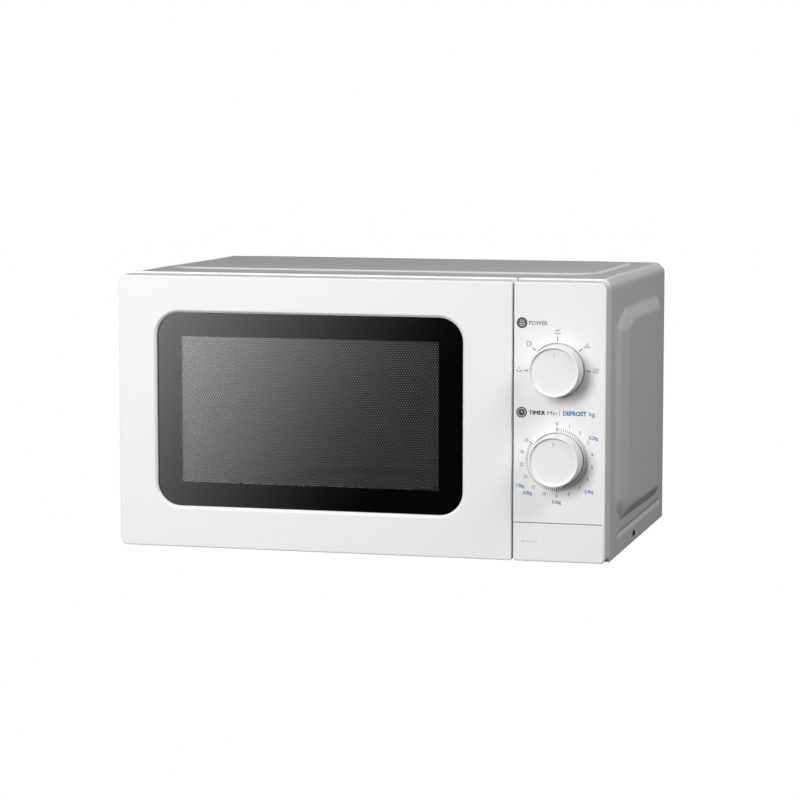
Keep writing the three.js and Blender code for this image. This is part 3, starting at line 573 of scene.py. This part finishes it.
def stations(end, *runs):
    """Places up to, but not at, the end; each run is (start, rough step) and lasts until the next."""
    places = []
    for (low, step), high in zip(runs, [start for start, _ in runs[1:]] + [end]):
        count = max(1, round((high - low) / step))
        places += [low + (high - low) * index / count for index in range(count)]
    return places


def cover_section():
    """(x, z, outward x, outward z) round the cover, from the left foot over the top to the right."""
    half = COVER_HALF
    top = COVER_HIGH.z - TOP_RISE
    corner = COVER_CORNER
    points = []
    side_heights = stations(top - corner, (COVER_LOW.z, 1.2), (52, 4.5), (186, 1.4), (229, 3.0))
    for z in side_heights:
        points.append((-half, z, -1.0, 0.0))
    for across, up, out_x, out_z in reversed(corner_points()):
        points.append((-half + corner - across, top - corner + up, -out_x, out_z))
    runs = ((-half + corner, 2.0), (-206, 1.2), (-168, 12.0), (160, 1.2), (197, 3.0))
    for x in stations(half - corner, *runs):
        points.append((x, top, 0.0, 1.0))
    for across, up, out_x, out_z in corner_points():
        points.append((half - corner + across, top - corner + up, out_x, out_z))
    for z in reversed(side_heights + [top - corner]):
        points.append((half, z, 1.0, 0.0))
    return points


def corner_points():
    """Top corner (across, up, outward x, outward z) from its centre: two bends and a slanted band."""
    bend = COVER_BEND
    gap = COVER_CORNER - bend
    points = []
    for start, shift_x, shift_z in ((90, 0.0, gap), (45, gap, 0.0)):
        for step in range(7):
            turn = math.radians(start - 45 * step / 6)
            points.append((shift_x + bend * math.cos(turn), shift_z + bend * math.sin(turn),
                           math.cos(turn), math.sin(turn)))
    return points[:-1]


def cover_piece():
    """The folded sheet over top and sides, with its raised fields and grooves."""
    section = cover_section()
    depth_end = COVER_HIGH.y - FRONT
    runs = ((COVER_LOW.y - FRONT, 3.0), (52, 1.2), (76, 0.8), (112, 6.0), (256, 1.6), (294, 4.0))
    depths = stations(depth_end, *runs) + [depth_end]
    rings = []
    for depth in depths:
        settled = (depth - CROWN_SETTLE[0]) / (CROWN_SETTLE[1] - CROWN_SETTLE[0])
        crown = TOP_CROWN * (1 - smoothstep(settled))
        row = []
        for x, z, out_x, out_z in section:
            if out_z == 0.0:
                height = side_height(depth, z)
            elif out_x == 0.0:
                height = top_height(x, depth)
            else:
                height = 0.0
            row.append((x + out_x * height, FRONT + depth, z + out_z * (height + crown)))
        rings.append(row)
    count = len(section)
    vertices = [point for row in rings for point in row]
    faces = []
    for row in range(len(rings) - 1):
        for column in range(count - 1):
            first = row * count + column
            faces.append((first, first + 1, first + count + 1, first + count))
    piece = add_piece("cover_sheet", vertices, faces, "cabinet", "cabinet_paint", 50, closed=False)
    piece.modifiers.clear()
    solid = piece.modifiers.new("sheet", "SOLIDIFY")
    solid.thickness = COVER_SHEET * MM
    solid.offset = -1.0
    apply_modifiers(piece)
    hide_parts("cabinet_cover")


# ---- door

def lowered(rect, drop):
    """The rectangle with its top edge let down."""
    return rect[0], rect[1], rect[2], rect[3] - drop


def back_lip(rect, radii):
    """Rings of the low step up to the lip along the back of a front moulding's top."""
    return [
        ring(lowered(rect, TOP_DROP[1]), radii, 0, FRONT + TOP_LIP),
        ring(lowered(rect, 0.4), radii, 0, FRONT + TOP_LIP + 0.2),
        ring(rect, radii, 0, FRONT + TOP_LIP + 0.6),
    ]


def door_shell():
    """Moulded door: rounded front, window lip, hollow back and slots for the two hinge arms."""
    outer = (DOOR_LOW.x, DOOR_HIGH.x, DOOR_LOW.z, DOOR_HIGH.z)
    window = (WINDOW_RADIUS,) * 4
    back = DOOR_HIGH.y
    rings = [ring(WINDOW, window, 0, FRONT + SKIN)]
    for out, depth in ((0, LIP_DEPTH), (LIP_WIDTH, 0.2), (LIP_WIDTH + 0.5, 0.0), (LIP_WIDTH + 1.2, 0.0)):
        rings.append(ring(WINDOW, window, -out, FRONT + depth))
    for amount, depth in quarter(EDGE_ROUND):
        rings.append(ring(lowered(outer, TOP_DROP[0]), DOOR_CORNERS, amount, FRONT + depth))
    rings.extend(back_lip(outer, DOOR_CORNERS))
    deepest = back - FRONT
    steps = [(0.0, 21.4)] + [(amount, deepest - depth) for amount, depth in reversed(quarter(BACK_ROUND))]
    for soft, depth in steps:
        reach = math.sqrt(HINGE_CLEAR ** 2 - (depth + FRONT - HINGE[1]) ** 2)
        hinge_side = max(outer[0], HINGE[0] - reach)
        rect = (hinge_side, outer[1] - soft, outer[2] + soft, outer[3] - soft)
        rings.append(ring(rect, DOOR_CORNERS, 0, FRONT + depth))
    inner = (HINGE[0] - 0.2, outer[1] - WALL, outer[2] + WALL, outer[3] - WALL - DOOR_HOLLOW_DROP)
    rings.append(ring(inner, DOOR_CORNERS, 0, back))
    deeper = (outer[0] + WALL, inner[1], inner[2], inner[3])
    rings.append(ring(deeper, DOOR_CORNERS, 0, FRONT + 20))
    rings.append(ring(deeper, DOOR_CORNERS, 0, FRONT + SKIN))
    vertices, faces = loft(rings, closed=True)
    piece = add_piece("door_shell", vertices, faces, "door", "white_plastic")
    slots = []
    for low, high in HINGE_SLOTS:
        slots.append(block((HINGE[0] - 8.5, HINGE[1] - 8.4, low), (HINGE[0] + 6.0, HINGE[1] + 12.0, high)))
    cut(piece, slots)
    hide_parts("door_frame")


def pane():
    """Front glass: a black printed border round a clear middle, over the perforated screen."""
    left, right, low, high = GLASS_LOW.x, GLASS_HIGH.x, GLASS_LOW.z, GLASS_HIGH.z
    front, back = GLASS_LOW.y, GLASS_HIGH.y
    edge = 0.4
    outline_rings = ((edge, front), (0, front + edge), (0, back - edge), (edge, back))
    outer = [ring((left, right, low, high), (2,) * 4, amount, y) for amount, y in outline_rings]
    clear = [ring(MESH_AREA, (0.8,) * 4, 0, y) for y in (back, front)]
    vertices, faces = loft(outer + clear, closed=True)
    indices = [0] * len(faces)
    count = len(outer[0])
    for base in (4 * count, 5 * count):
        cap = tuple(base + index for index in range(count))
        faces.append(cap if base == 5 * count else tuple(reversed(cap)))
        indices.append(1)
    for face in range(4 * count, 5 * count):
        indices[face] = 1
    piece = add_piece("door_pane", vertices, faces, "door", "dark_glass", 30, False,
                      [MATERIALS["dark_glass"], PANE_CLEAR], indices)
    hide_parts("door_glass")


def hole_grid(y):
    """Sheet of six-sided holes in staggered rows, each hole with the metal of its own cell."""
    left, right, low, high = inset(MESH_AREA, -MESH_SPARE)
    vertices = []
    index_of = {}
    faces = []

    def vertex(x, z):
        """Index of the vertex at a place, made once and shared by the cells round it."""
        key = (round(x, 3), round(z, 3))
        if key not in index_of:
            index_of[key] = len(vertices)
            vertices.append((x, y, z))
        return index_of[key]

    cell = HOLE_PITCH / math.sqrt(3)
    row_step = HOLE_PITCH * math.sqrt(3) / 2
    rows = int((high - low) / row_step)
    columns = int((right - left) / HOLE_PITCH)
    turns = [math.radians(60 * corner) for corner in range(6)]
    corners = [(math.sin(turn), math.cos(turn)) for turn in turns]
    for row in range(rows):
        middle_z = low + (row + 0.5) * row_step
        for column in range(columns):
            middle_x = left + (column + 0.5 + 0.5 * (row % 2)) * HOLE_PITCH
            outer = [vertex(middle_x + cell * a, middle_z + cell * b) for a, b in corners]
            inner = [vertex(middle_x + HOLE_RADIUS * a, middle_z + HOLE_RADIUS * b) for a, b in corners]
            for here in range(6):
                after = (here + 1) % 6
                faces.append((outer[here], outer[after], inner[after], inner[here]))
    return vertices, faces


def screen():
    """Perforated steel screen with a turned-back rim round the window."""
    y = SCREEN_LOW.y + 0.4
    behind = y + 0.12
    back = SCREEN_HIGH.y
    sheet = (SCREEN_LOW.x, SCREEN_HIGH.x, SCREEN_LOW.z, SCREEN_HIGH.z)
    rings = [ring(inset(MESH_AREA, -1.2), (1,) * 4, 0, behind)]
    for amount, depth in ((1.2, behind), (0.8, y + 0.8), (0.0, back - 0.8), (-0.8, back)):
        rings.append(ring(inset(SCREEN_MOUTH, amount), (SCREEN_MOUTH_RADIUS,) * 4, 0, depth))
    for amount, depth in ((1.0, back), (0.0, back - 1.0), (0.0, SCREEN_LOW.y + 1.0), (1.0, SCREEN_LOW.y)):
        rings.append(ring(sheet, (3,) * 4, amount, depth))
    vertices, faces = joined(hole_grid(y), loft(rings, caps=False))
    piece = add_piece("door_mesh", vertices, faces, "door", "black_screen", closed=False)
    piece.modifiers.clear()
    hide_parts("door_screen")


# ---- control panel, button and knobs

def panel_body(name, body):
    """The solid moulding that panel and button are both cut from, so that their faces run on."""
    face = lowered(PANEL_RECT, TOP_DROP[0])
    rings = [ring(face, PANEL_CORNERS, EDGE_ROUND + 0.6, FRONT)]
    for amount, depth in quarter(EDGE_ROUND):
        rings.append(ring(face, PANEL_CORNERS, amount, FRONT + depth))
    rings.extend(back_lip(PANEL_RECT, PANEL_CORNERS))
    for amount, depth in reversed(quarter(BACK_ROUND)):
        rings.append(ring(PANEL_RECT, PANEL_CORNERS, amount, PANEL_HIGH.y - depth))
    vertices, faces = loft(rings)
    return add_piece(name, vertices, faces, body, "white_plastic")


def control_panel():
    """Panel moulding with a hollow back, the button's pocket and the two knob bores."""
    left, right, low, high = PANEL_RECT
    piece = panel_body("panel_shell", "cabinet")
    hollow = block((left + WALL, FRONT + SKIN, BUTTON_HIGH.z + 3.4),
                   (right - WALL, PANEL_HIGH.y + 1, high - WALL - PANEL_HOLLOW_DROP))
    pocket = block((left - 2, FRONT - 2, low - 3),
                   (BUTTON_HIGH.x + 0.12, PANEL_HIGH.y + 1, BUTTON_HIGH.z + SEAM))
    cutters = [hollow, pocket]
    radius, depth = KNOB_RECESS
    for axis in (POWER_AXIS, TIMER_AXIS):
        cutters.append(turned_y([(KNOB_BORE, FRONT - 3), (KNOB_BORE, FRONT + SKIN + 3)], axis, 48))
        cutters.append(turned_y([(radius, FRONT - 3), (radius, FRONT + depth)], axis, 96))
    cut(piece, cutters)
    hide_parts("control_panel")


def button():
    """Door button filling the foot of the panel, and the post behind it that moves the release."""
    piece = panel_body("button_shell", "button")
    far = 60
    last = (BUTTON_HIGH.x + far, FRONT + far, 300)
    cut(piece, [
        block((BUTTON_HIGH.x, FRONT - far, BUTTON_LOW.z - far), last),
        block((BUTTON_LOW.x - far, FRONT - far, BUTTON_HIGH.z), last),
        block((BUTTON_LOW.x - far, BUTTON_BACK, BUTTON_LOW.z - far), last),
    ])
    left, right, low, high = BUTTON_POST
    vertices, faces = block((left, BUTTON_BACK - 0.5, low), (right, BUTTON_HIGH.y, high))
    add_piece("button_post", vertices, faces, "button", "white_plastic")
    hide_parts("door_button")


def knob(name, node, axis, body):
    """Knob turned from one profile: skirt, soft side, raised rim, dished face and a pointer groove."""
    tip = KNOB_TIP
    stem_end = box(node)[1].y
    profile = [
        (3.0, stem_end), (3.0, FRONT - 3.0), (7.0, FRONT - 3.0), (7.0, FRONT - 9.0),
        (20.5, FRONT - 9.0), (21.4, FRONT + 1.0), (22.9, FRONT + 1.0), (22.8, FRONT - 2.0),
        (22.3, tip + 2.2), (22.0, tip + 0.8), (21.4, tip), (20.7, tip), (20.2, tip + 0.5),
        (19.8, tip + 1.5), (19.0, tip + 1.8), (12.0, tip + 1.9), (0.4, tip + 1.9),
    ]
    vertices, faces = turned_y(soften(profile, 0.7), axis)
    piece = add_piece(name, vertices, faces, body, "white_plastic", 40)
    groove = block((axis[0] - 0.55, tip - 2, axis[1] + 13.0), (axis[0] + 0.6, tip + 3.0, axis[1] + 16.0))
    cut(piece, [groove], 40)
    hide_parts(node)


# ---- smaller pieces

def tray_glass():
    """Thick glass tray: flat middle on a low foot, a slanted dish and a rolled rim."""
    low, high = box("glass_tray")
    base, top = low.z, high.z
    rim = (high.x - low.x) / 2
    profile = soften([
        (0.4, base), (102.5, base), (107.5, base + 1.1), (rim - 0.5, base + 8.6), (rim, top - 1.4),
        (rim - 0.7, top), (rim - 2.0, top), (rim - 3.2, top - 1.2), (107.0, base + 4.7),
        (102.0, base + 4.0), (64.0, base + 4.0), (62.5, base + 3.4), (0.4, base + 3.4),
    ], 1.3)
    vertices, faces = turned_z(profile, middle_of("glass_tray", X, Y), 144)
    piece = add_piece("tray_dish", vertices, faces, "turntable", "clear_glass", 50)
    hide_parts("glass_tray")


def feet():
    """Four rubber feet with a rounded tread, a hollow for the screw and a stud into the base."""
    for index in range(1, 5):
        low, high = box(f"foot_{index}")
        base, top = low.z, high.z
        profile = soften([
            (0.4, base + 4.5), (3.4, base + 4.5), (3.6, base), (9.0, base), (10.5, base + 1.8),
            (10.2, base + 9.6), (8.6, base + 12.5), (2.8, base + 12.5), (2.8, top), (0.4, top),
        ], 0.9)
        vertices, faces = turned_z(profile, middle_of(f"foot_{index}", X, Y), 48)
        piece = add_piece(f"foot_pad_{index}", vertices, faces, "cabinet", "rubber", 40)
        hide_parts(f"foot_{index}")


def cord_collar():
    """Moulded collar in the rear panel with an open bore."""
    low, high = box("cord_bushing")
    seat = REAR_FACE
    profile = [
        (4.2, low.y), (8.4, low.y), (8.4, seat + 0.3), (11.4, seat + 0.3), (12.0, seat + 0.9),
        (12.0, seat + 2.0), (11.2, seat + 2.7), (9.4, seat + 3.6), (8.9, high.y - 0.8), (8.3, high.y),
        (5.2, high.y), (4.2, high.y - 1.0),
    ]
    vertices, faces = turned_y(profile, middle_of("cord_bushing", X, Z), 64, bored=True)
    piece = add_piece("cord_collar", vertices, faces, "cabinet", "dark_plastic", 35)
    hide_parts("cord_bushing")


def screw(name, node, seat, side, place, finish, radius):
    """Pan-head screw with a cross recess; side is 1 or -1 on the right or left wall, 0 at the back."""
    arm = 0.48 * radius
    head = [
        (0.4, seat - 5.0), (1.7, seat - 5.0), (1.7, seat + 0.1), (radius - 0.1, seat + 0.1),
        (radius, seat + 0.6), (0.92 * radius, seat + 1.2), (0.72 * radius, seat + 1.7),
        (0.4 * radius, seat + 1.95), (0.4, seat + 2.0),
    ]
    solids = [turned_y(head, place, 40)]
    for half_x, half_z in ((arm, 0.42), (0.42, arm)):
        solids.append(block((place[0] - half_x, seat + 0.7, place[1] - half_z),
                            (place[0] + half_x, seat + 4.0, place[1] + half_z)))
    if side:
        solids = [([(side * y, x, z) for x, y, z in vertices], faces) for vertices, faces in solids]
    vertices, faces = solids[0]
    piece = add_piece(name, vertices, faces, "cabinet", "zinc_steel", 30, materials=[finish])
    cut(piece, solids[1:], 30)
    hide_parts(node)


def screws():
    """Four screws in the rear flange and one low on each side."""
    for index in range(1, 5):
        node = f"rear_screw_{index}"
        seat = box(node)[1].y - 2.1
        screw(f"rear_head_{index}", node, seat, 0, middle_of(node, X, Z), MATERIALS["zinc_steel"], 4.0)
    for name, side in (("right", 1), ("left", -1)):
        node = f"side_screw_{name}"
        seat = max(side * corner.x for corner in box(node)) - 2.1
        screw(f"side_head_{name}", node, seat, side, middle_of(node, Y, Z), DARK_STEEL, 2.7)


def door_ribs():
    """Bored bosses for the two hinge pins and the seat of the latch spring, inside the door."""
    x, y = HINGE
    wall = [
        (DOOR_LOW.x + 1.5, y - 4.0), (x - 3.0, y - 4.0), (x - 3.0, FRONT + 3.5), (x + 3.0, FRONT + 3.5),
        (x + 3.0, y - 3.5),
    ]
    for step in range(9):
        angle = math.radians(-45 + 20 * step)
        wall.append((x + 4.6 * math.cos(angle), y + 4.6 * math.sin(angle)))
    wall.append((DOOR_LOW.x + 1.5, y + 4.0))
    solids = []
    for low, high in BOSS_HEIGHTS:
        solids.append(loft([[(a, b, low) for a, b in wall], [(a, b, high) for a, b in wall]]))
    left, right, low, high = SPRING_SEAT
    solids.append(block((left, FRONT + 3.5, low), (right, FRONT + 18, high)))
    vertices, faces = joined(*solids)
    piece = add_piece("door_ribs", vertices, faces, "door", "white_plastic", 30)
    bores = [((PIN_BORE, low - 2), (PIN_BORE, high + 2)) for low, high in PIN_DEPTHS]
    cut(piece, [turned_z(bore, HINGE, 32) for bore in bores], 30)


# ---- printing on the panel, and painted shade on the door button

class FlatColour:
    """Flat layer of one colour on a front face: print, and painted shade."""

    def __init__(self, body="cabinet", gap=PANEL_FACE_GAP):
        self.body = body
        self.y = FRONT - gap
        self.vertices = []
        self.faces = []

    def add(self, points, faces):
        """Takes in flat (x, z) points and their faces."""
        base = len(self.vertices)
        self.vertices.extend((x, self.y, z) for x, z in points)
        self.faces.extend(tuple(index + base for index in face) for face in faces)

    def disc(self, centre, radius):
        """A filled circle."""
        points = circle(centre, radius, 40)
        self.add(points, [tuple(range(len(points)))])

    def stroke(self, points, width):
        """A line of even width along the points."""
        left, right = [], []
        for index, point in enumerate(points):
            here = Vector(point)
            before = Vector(points[max(index - 1, 0)])
            after = Vector(points[min(index + 1, len(points) - 1)])
            along = (after - before).normalized()
            across = Vector((-along.y, along.x)) * width / 2
            left.append(tuple(here + across))
            right.append(tuple(here - across))
        count = len(points)
        faces = [(i, i + 1, count + i + 1, count + i) for i in range(count - 1)]
        self.add(left + right, faces)

    def sketch(self, centre, points, width):
        """A line through points given from a centre."""
        self.stroke([(centre[0] + x, centre[1] + z) for x, z in points], width)

    def tick(self, axis, angle, span, width):
        """A radial mark; the angle runs clockwise from the top, in degrees."""
        self.stroke([polar(axis, radius, angle) for radius in span], width)

    def text(self, words, left, right, base, cap, weight=0.0):
        """Words stretched to lie between left and right on a base line."""
        points, faces, low, high = lettering(words, weight)
        across = (right - left) / (high - low)
        up = cap / CAP_HEIGHT
        self.add([(left + (x - low) * across, base + z * up) for x, z in points], faces)

    def label(self, words, centre, weight=0.0):
        """A dial label about a centre."""
        points, faces, low, high = lettering(words, weight)
        up = LABEL_CAP / CAP_HEIGHT
        across = up * LABEL_SQUEEZE
        middle = (low + high) / 2
        base = centre[1] - LABEL_CAP / 2
        self.add([(centre[0] + (x - middle) * across, base + z * up) for x, z in points], faces)

    def piece(self, name, material):
        """Makes the layer a piece of the body it lies on."""
        piece = add_piece(name, self.vertices, self.faces, self.body, "white_plastic", closed=False,
                          materials=[material])
        piece.modifiers.clear()


def lettering(words, weight):
    """Words in the built-in typeface: points, faces, left and right end; weight thickens them."""
    curve = bpy.data.curves.new("words", "FONT")
    curve.body = words
    curve.resolution_u = 3
    curve.offset = weight
    obj = add_object("words", curve)
    mesh = finished_mesh(obj)
    points = [(v.co.x, v.co.y) for v in mesh.vertices]
    faces = [tuple(p.vertices) for p in mesh.polygons]
    bpy.data.objects.remove(obj, do_unlink=True)
    bpy.data.meshes.remove(mesh)
    return points, faces, min(x for x, _ in points), max(x for x, _ in points)


CAP_HEIGHT = max(z for _, z in lettering("H", 0.0)[0])


def arc(centre, radius, start, end, steps=12):
    """Points on a circle, anticlockwise from the right, in degrees."""
    turns = [math.radians(start + (end - start) * step / steps) for step in range(steps + 1)]
    return [(centre[0] + radius * math.cos(turn), centre[1] + radius * math.sin(turn)) for turn in turns]


def polar(axis, radius, angle):
    """Point at a radius, the angle clockwise from the top."""
    turn = math.radians(angle)
    return axis[0] + radius * math.sin(turn), axis[1] + radius * math.cos(turn)


def minute_angle(minute):
    """The timer's scale: wide steps up to ten minutes, close ones after."""
    return 20.0 * minute if minute <= 10 else 200.0 + 4.08 * (minute - 10)


def timer_scale(dark, blue):
    """Ticks, minutes and defrost weights round the timer knob."""
    axis = TIMER_AXIS
    angles = [4.0 * count for count in range(51)] + [minute_angle(minute) for minute in range(11, 36)]
    for angle in angles:
        major = angle in (0.0, 180.0, angles[-1])
        dark.tick(axis, angle, TICK_MAJOR if major else TICK_MINOR, 0.8 if major else 0.5)
    for minute in (*range(11), 15, 20, 25, 30, 35):
        dark.label(str(minute), polar(axis, LABEL_RADIUS, minute_angle(minute)))
    weights = (("0.2kg", 58, 37.6), ("0.4kg", 133, 38.8), ("0.6kg", 180, 36.4), ("0.8kg", 221, 38.8),
               ("1.0kg", 234, 39.6))
    for words, angle, radius in weights:
        blue.label(words, polar(axis, radius, angle), 0.022)


def power_scale(dark):
    """Five settings round the power knob, each with a small food sign."""
    x, z = POWER_AXIS
    for angle in (-91, -48.5, 0, 48.5, 90):
        dark.tick(POWER_AXIS, angle, POWER_TICK, 0.75)
    bowl = (x - 33.4, z - 0.2)
    dark.sketch(bowl, arc((0, 0.9), 2.5, 190, 350), 0.5)
    dark.sketch(bowl, [(0, -0.2), (0, 2.4)], 0.4)
    cup = (x - 25.1, z + 22.2)
    dark.sketch(cup, [(-1.6, 2.2), (-1.3, -2.0), (1.0, -2.0), (1.3, 2.2), (-1.6, 2.2)], 0.45)
    dark.sketch(cup, arc((1.2, 0.2), 1.3, -80, 80), 0.4)
    dish = (x, z + 33.6)
    dark.sketch(dish, [(-2.8, -1.4), (-1.8, -2.0), (1.8, -2.0), (2.8, -1.4)], 0.5)
    for shift in (-0.8, 0.5):
        steam = arc((shift, 0), 0.9, 200, 60, 6) + arc((shift + 0.6, 1.6), 0.8, 230, 380, 6)
        dark.sketch(dish, steam, 0.35)
    plate = (x + 25.6, z + 22.0)
    dark.sketch(plate, [(-2.8, -1.4), (-1.6, -2.0), (2.8, -2.0)], 0.4)
    dark.sketch(plate, [(-1.4, -0.9), (0.4, 2.0), (2.2, -0.9), (-1.4, -0.9)], 0.42)
    waves = (x + 33.6, z + 0.4)
    for row, shift in ((-1.6, -0.5), (0.0, 0.0), (1.6, 0.5)):
        wave = [(-2.4, 0), (-0.8, 0.35), (0.8, -0.35), (2.4, 0)]
        dark.sketch((waves[0] + shift, waves[1] + row), wave, 0.42)


def round_sign(dark, axis):
    """Dark disc over a dial; gives its centre."""
    sign = (PANEL_LOW.x + SIGN_PLACE[0], axis[1] + SIGN_PLACE[1])
    dark.disc(sign, 4.7)
    return sign


def headings(dark, blue, white):
    """Round signs and words over the two dials."""
    left = PANEL_LOW.x
    sign = round_sign(dark, POWER_AXIS)
    white.sketch(sign, [(-2.9, -1.0), (2.9, -1.0)], 0.5)
    white.sketch(sign, arc((0, 0.6), 3.2, 235, 305), 0.45)
    for shift in (-1.5, 0.0, 1.5):
        steam = [(shift - 0.3, 0.0), (shift + 0.3, 0.9), (shift - 0.3, 1.8), (shift + 0.3, 2.7)]
        white.sketch(sign, steam, 0.38)
    dark.text("POWER", left + 13.2, left + 29.5, sign[1] - 1.9, 3.6, 0.006)
    sign = round_sign(dark, TIMER_AXIS)
    white.sketch(sign, arc((0, 0), 3.3, 0, 360, 32), 0.45)
    white.sketch(sign, [(0, 2.2), (0, 0), (1.6, 0)], 0.5)
    base = sign[1] - 1.8
    for shift in (-0.2, 0.0, 0.2):
        dark.text("TIMER", left + 13.6 + shift, left + 27.7 + shift, base, 3.5)
    dark.text("Min", left + 29.7, left + 38.4, base, 3.4)
    dark.stroke([(left + 40.3, base - 0.8), (left + 40.3, base + 4.1)], 0.36)
    blue.text("DEFROST", left + 43.3, left + 63.9, base, 3.5, 0.046)
    blue.text("kg", left + 66.2, left + 71.3, base, 3.4, 0.012)


def panel_print():
    """All printing on the control panel, one piece for each colour."""
    dark, blue = FlatColour(), FlatColour()
    white = FlatColour(gap=PANEL_FACE_GAP + WHITE_GAP)
    timer_scale(dark, blue)
    power_scale(dark)
    headings(dark, blue, white)
    dark.piece("panel_print_dark", PRINT_DARK)
    blue.piece("panel_print_blue", PRINT_BLUE)
    white.piece("panel_print_white", PRINT_WHITE)


def button_groove_shade():
    """Painted shade of a moulded groove low on the door button: a fine grey line with a short bar at its
    near end.
    """
    mark = FlatColour("button")
    left, line = BUTTON_LOW.x + 8.2, BUTTON_LOW.z + 17.4
    mark.stroke([(left, line), (left + 13.5, line)], 0.32)
    mark.stroke([(left, line - 1.1), (left, line + 0.9)], 0.6)
    mark.piece("button_groove_painted_shade", GROOVE_SHADE_GREY)


# ---- stage, light and camera

def camera():
    """Long lens from the front right, a little above the top."""
    data = bpy.data.cameras.new("camera")
    data.lens = CAMERA_LENS
    data.sensor_width = 36.0
    data.clip_end = 50.0
    obj = add_object("camera", data)
    obj.location = CAMERA_PLACE
    obj.rotation_euler = Euler([math.radians(turn) for turn in CAMERA_TURN])
    bpy.context.scene.camera = obj


def softbox(name, place, aim, size, watts):
    """Rectangular area light looking at a point; places in metres."""
    data = bpy.data.lights.new(name, "AREA")
    data.shape = "RECTANGLE"
    data.size, data.size_y = size
    data.energy = watts
    obj = add_object(name, data)
    obj.location = place
    obj.rotation_euler = (Vector(aim) - Vector(place)).to_track_quat("-Z", "Y").to_euler()
    obj.visible_camera = False


def white_world():
    """Soft even surroundings, seen as white."""
    world = bpy.data.worlds.new("studio")
    bpy.context.scene.world = world
    world.use_nodes = True
    tree = world.node_tree
    tree.nodes.clear()
    out = new_node(tree, "OutputWorld")
    rays = new_node(tree, "LightPath")
    around = new_node(tree, "Background", Color=(0.95, 0.97, 1.0, 1), Strength=AMBIENT)
    seen = new_node(tree, "Background", Color=(1, 1, 1, 1), Strength=1.0)
    blend(tree, rays.outputs["Is Camera Ray"], around, seen, out)


def stage_sheet(name, corners, material):
    """A flat four-cornered sheet in metres, for the studio round the object."""
    mesh = bpy.data.meshes.new(name)
    mesh.from_pydata(corners, [], [(0, 1, 2, 3)])
    mesh.materials.append(material)
    return add_object(name, mesh)


def floor():
    """Plain pale floor: it is seen as white and throws a little light back up."""
    material, tree, out = bare_material("floor")
    rays = new_node(tree, "LightPath")
    plain = new_node(tree, "BsdfDiffuse", Color=(*grey(0.12), 1))
    glow = new_node(tree, "Emission", Color=(1, 1, 1, 1), Strength=1.0)
    blend(tree, rays.outputs["Is Camera Ray"], plain, glow, out)
    corners = [(x * FLOOR_HALF, y * FLOOR_HALF, 0) for x, y in ((-1, -1), (1, -1), (1, 1), (-1, 1))]
    obj = stage_sheet("floor", corners, material)
    obj.visible_glossy = False


def math_node(tree, operation, value=0.0):
    """A two-way sum; the value is its second term until something feeds it."""
    node = new_node(tree, "Math")
    node.operation = operation
    node.inputs[1].default_value = value
    return node


def reflection_card():
    """Fading white card that only mirrors see: it gives the door glass its soft sheen."""
    material, tree, out = bare_material("reflection_card")
    where = new_node(tree, "TexCoord")
    split = new_node(tree, "SeparateXYZ")
    across = new_node(tree, "MapRange", From_Min=-0.90, From_Max=-0.37, To_Min=0.0, To_Max=1.0)
    down = new_node(tree, "MapRange", From_Min=0.07, From_Max=-0.24, To_Min=0.0, To_Max=0.35)
    across.clamp = False
    down.clamp = False
    total = math_node(tree, "ADD")
    fade = new_node(tree, "MapRange", From_Min=0.0, From_Max=1.05, To_Min=1.0, To_Max=0.0)
    soft = math_node(tree, "POWER", 2.0)
    power = math_node(tree, "MULTIPLY", CARD_STRENGTH)
    glow = new_node(tree, "Emission")
    wires = (
        (where, "Object", split, "Vector"), (split, "X", across, "Value"), (split, "Z", down, "Value"),
        (across, "Result", total, 0), (down, "Result", total, 1), (total, "Value", fade, "Value"),
        (fade, "Result", soft, 0), (soft, "Value", power, 0), (power, "Value", glow, "Strength"),
        (glow, "Emission", out, "Surface"),
    )
    for source, result, target, socket in wires:
        tree.links.new(source.outputs[result], target.inputs[socket])
    low_x, y, low_z = CARD_LOW
    high_x, y, high_z = CARD_HIGH
    corners = [(low_x, y, low_z), (high_x, y, low_z), (high_x, y, high_z), (low_x, y, high_z)]
    obj = stage_sheet("reflection_card", corners, material)
    obj.visible_camera = False
    obj.visible_diffuse = False
    obj.visible_shadow = False
    obj.visible_transmission = False


# ---- build

camera()
dress_nodes()
cover_piece()
door_shell()
pane()
screen()
control_panel()
button()
knob("knob_power", "power_knob", POWER_AXIS, "power_knob")
knob("knob_timer", "timer_knob", TIMER_AXIS, "timer_knob")
panel_print()
button_groove_shade()
tray_glass()
feet()
cord_collar()
screws()
door_ribs()
for light in LIGHTS:
    softbox(*light)
white_world()
floor()
reflection_card()
bpy.context.scene.view_settings.view_transform = "Standard"
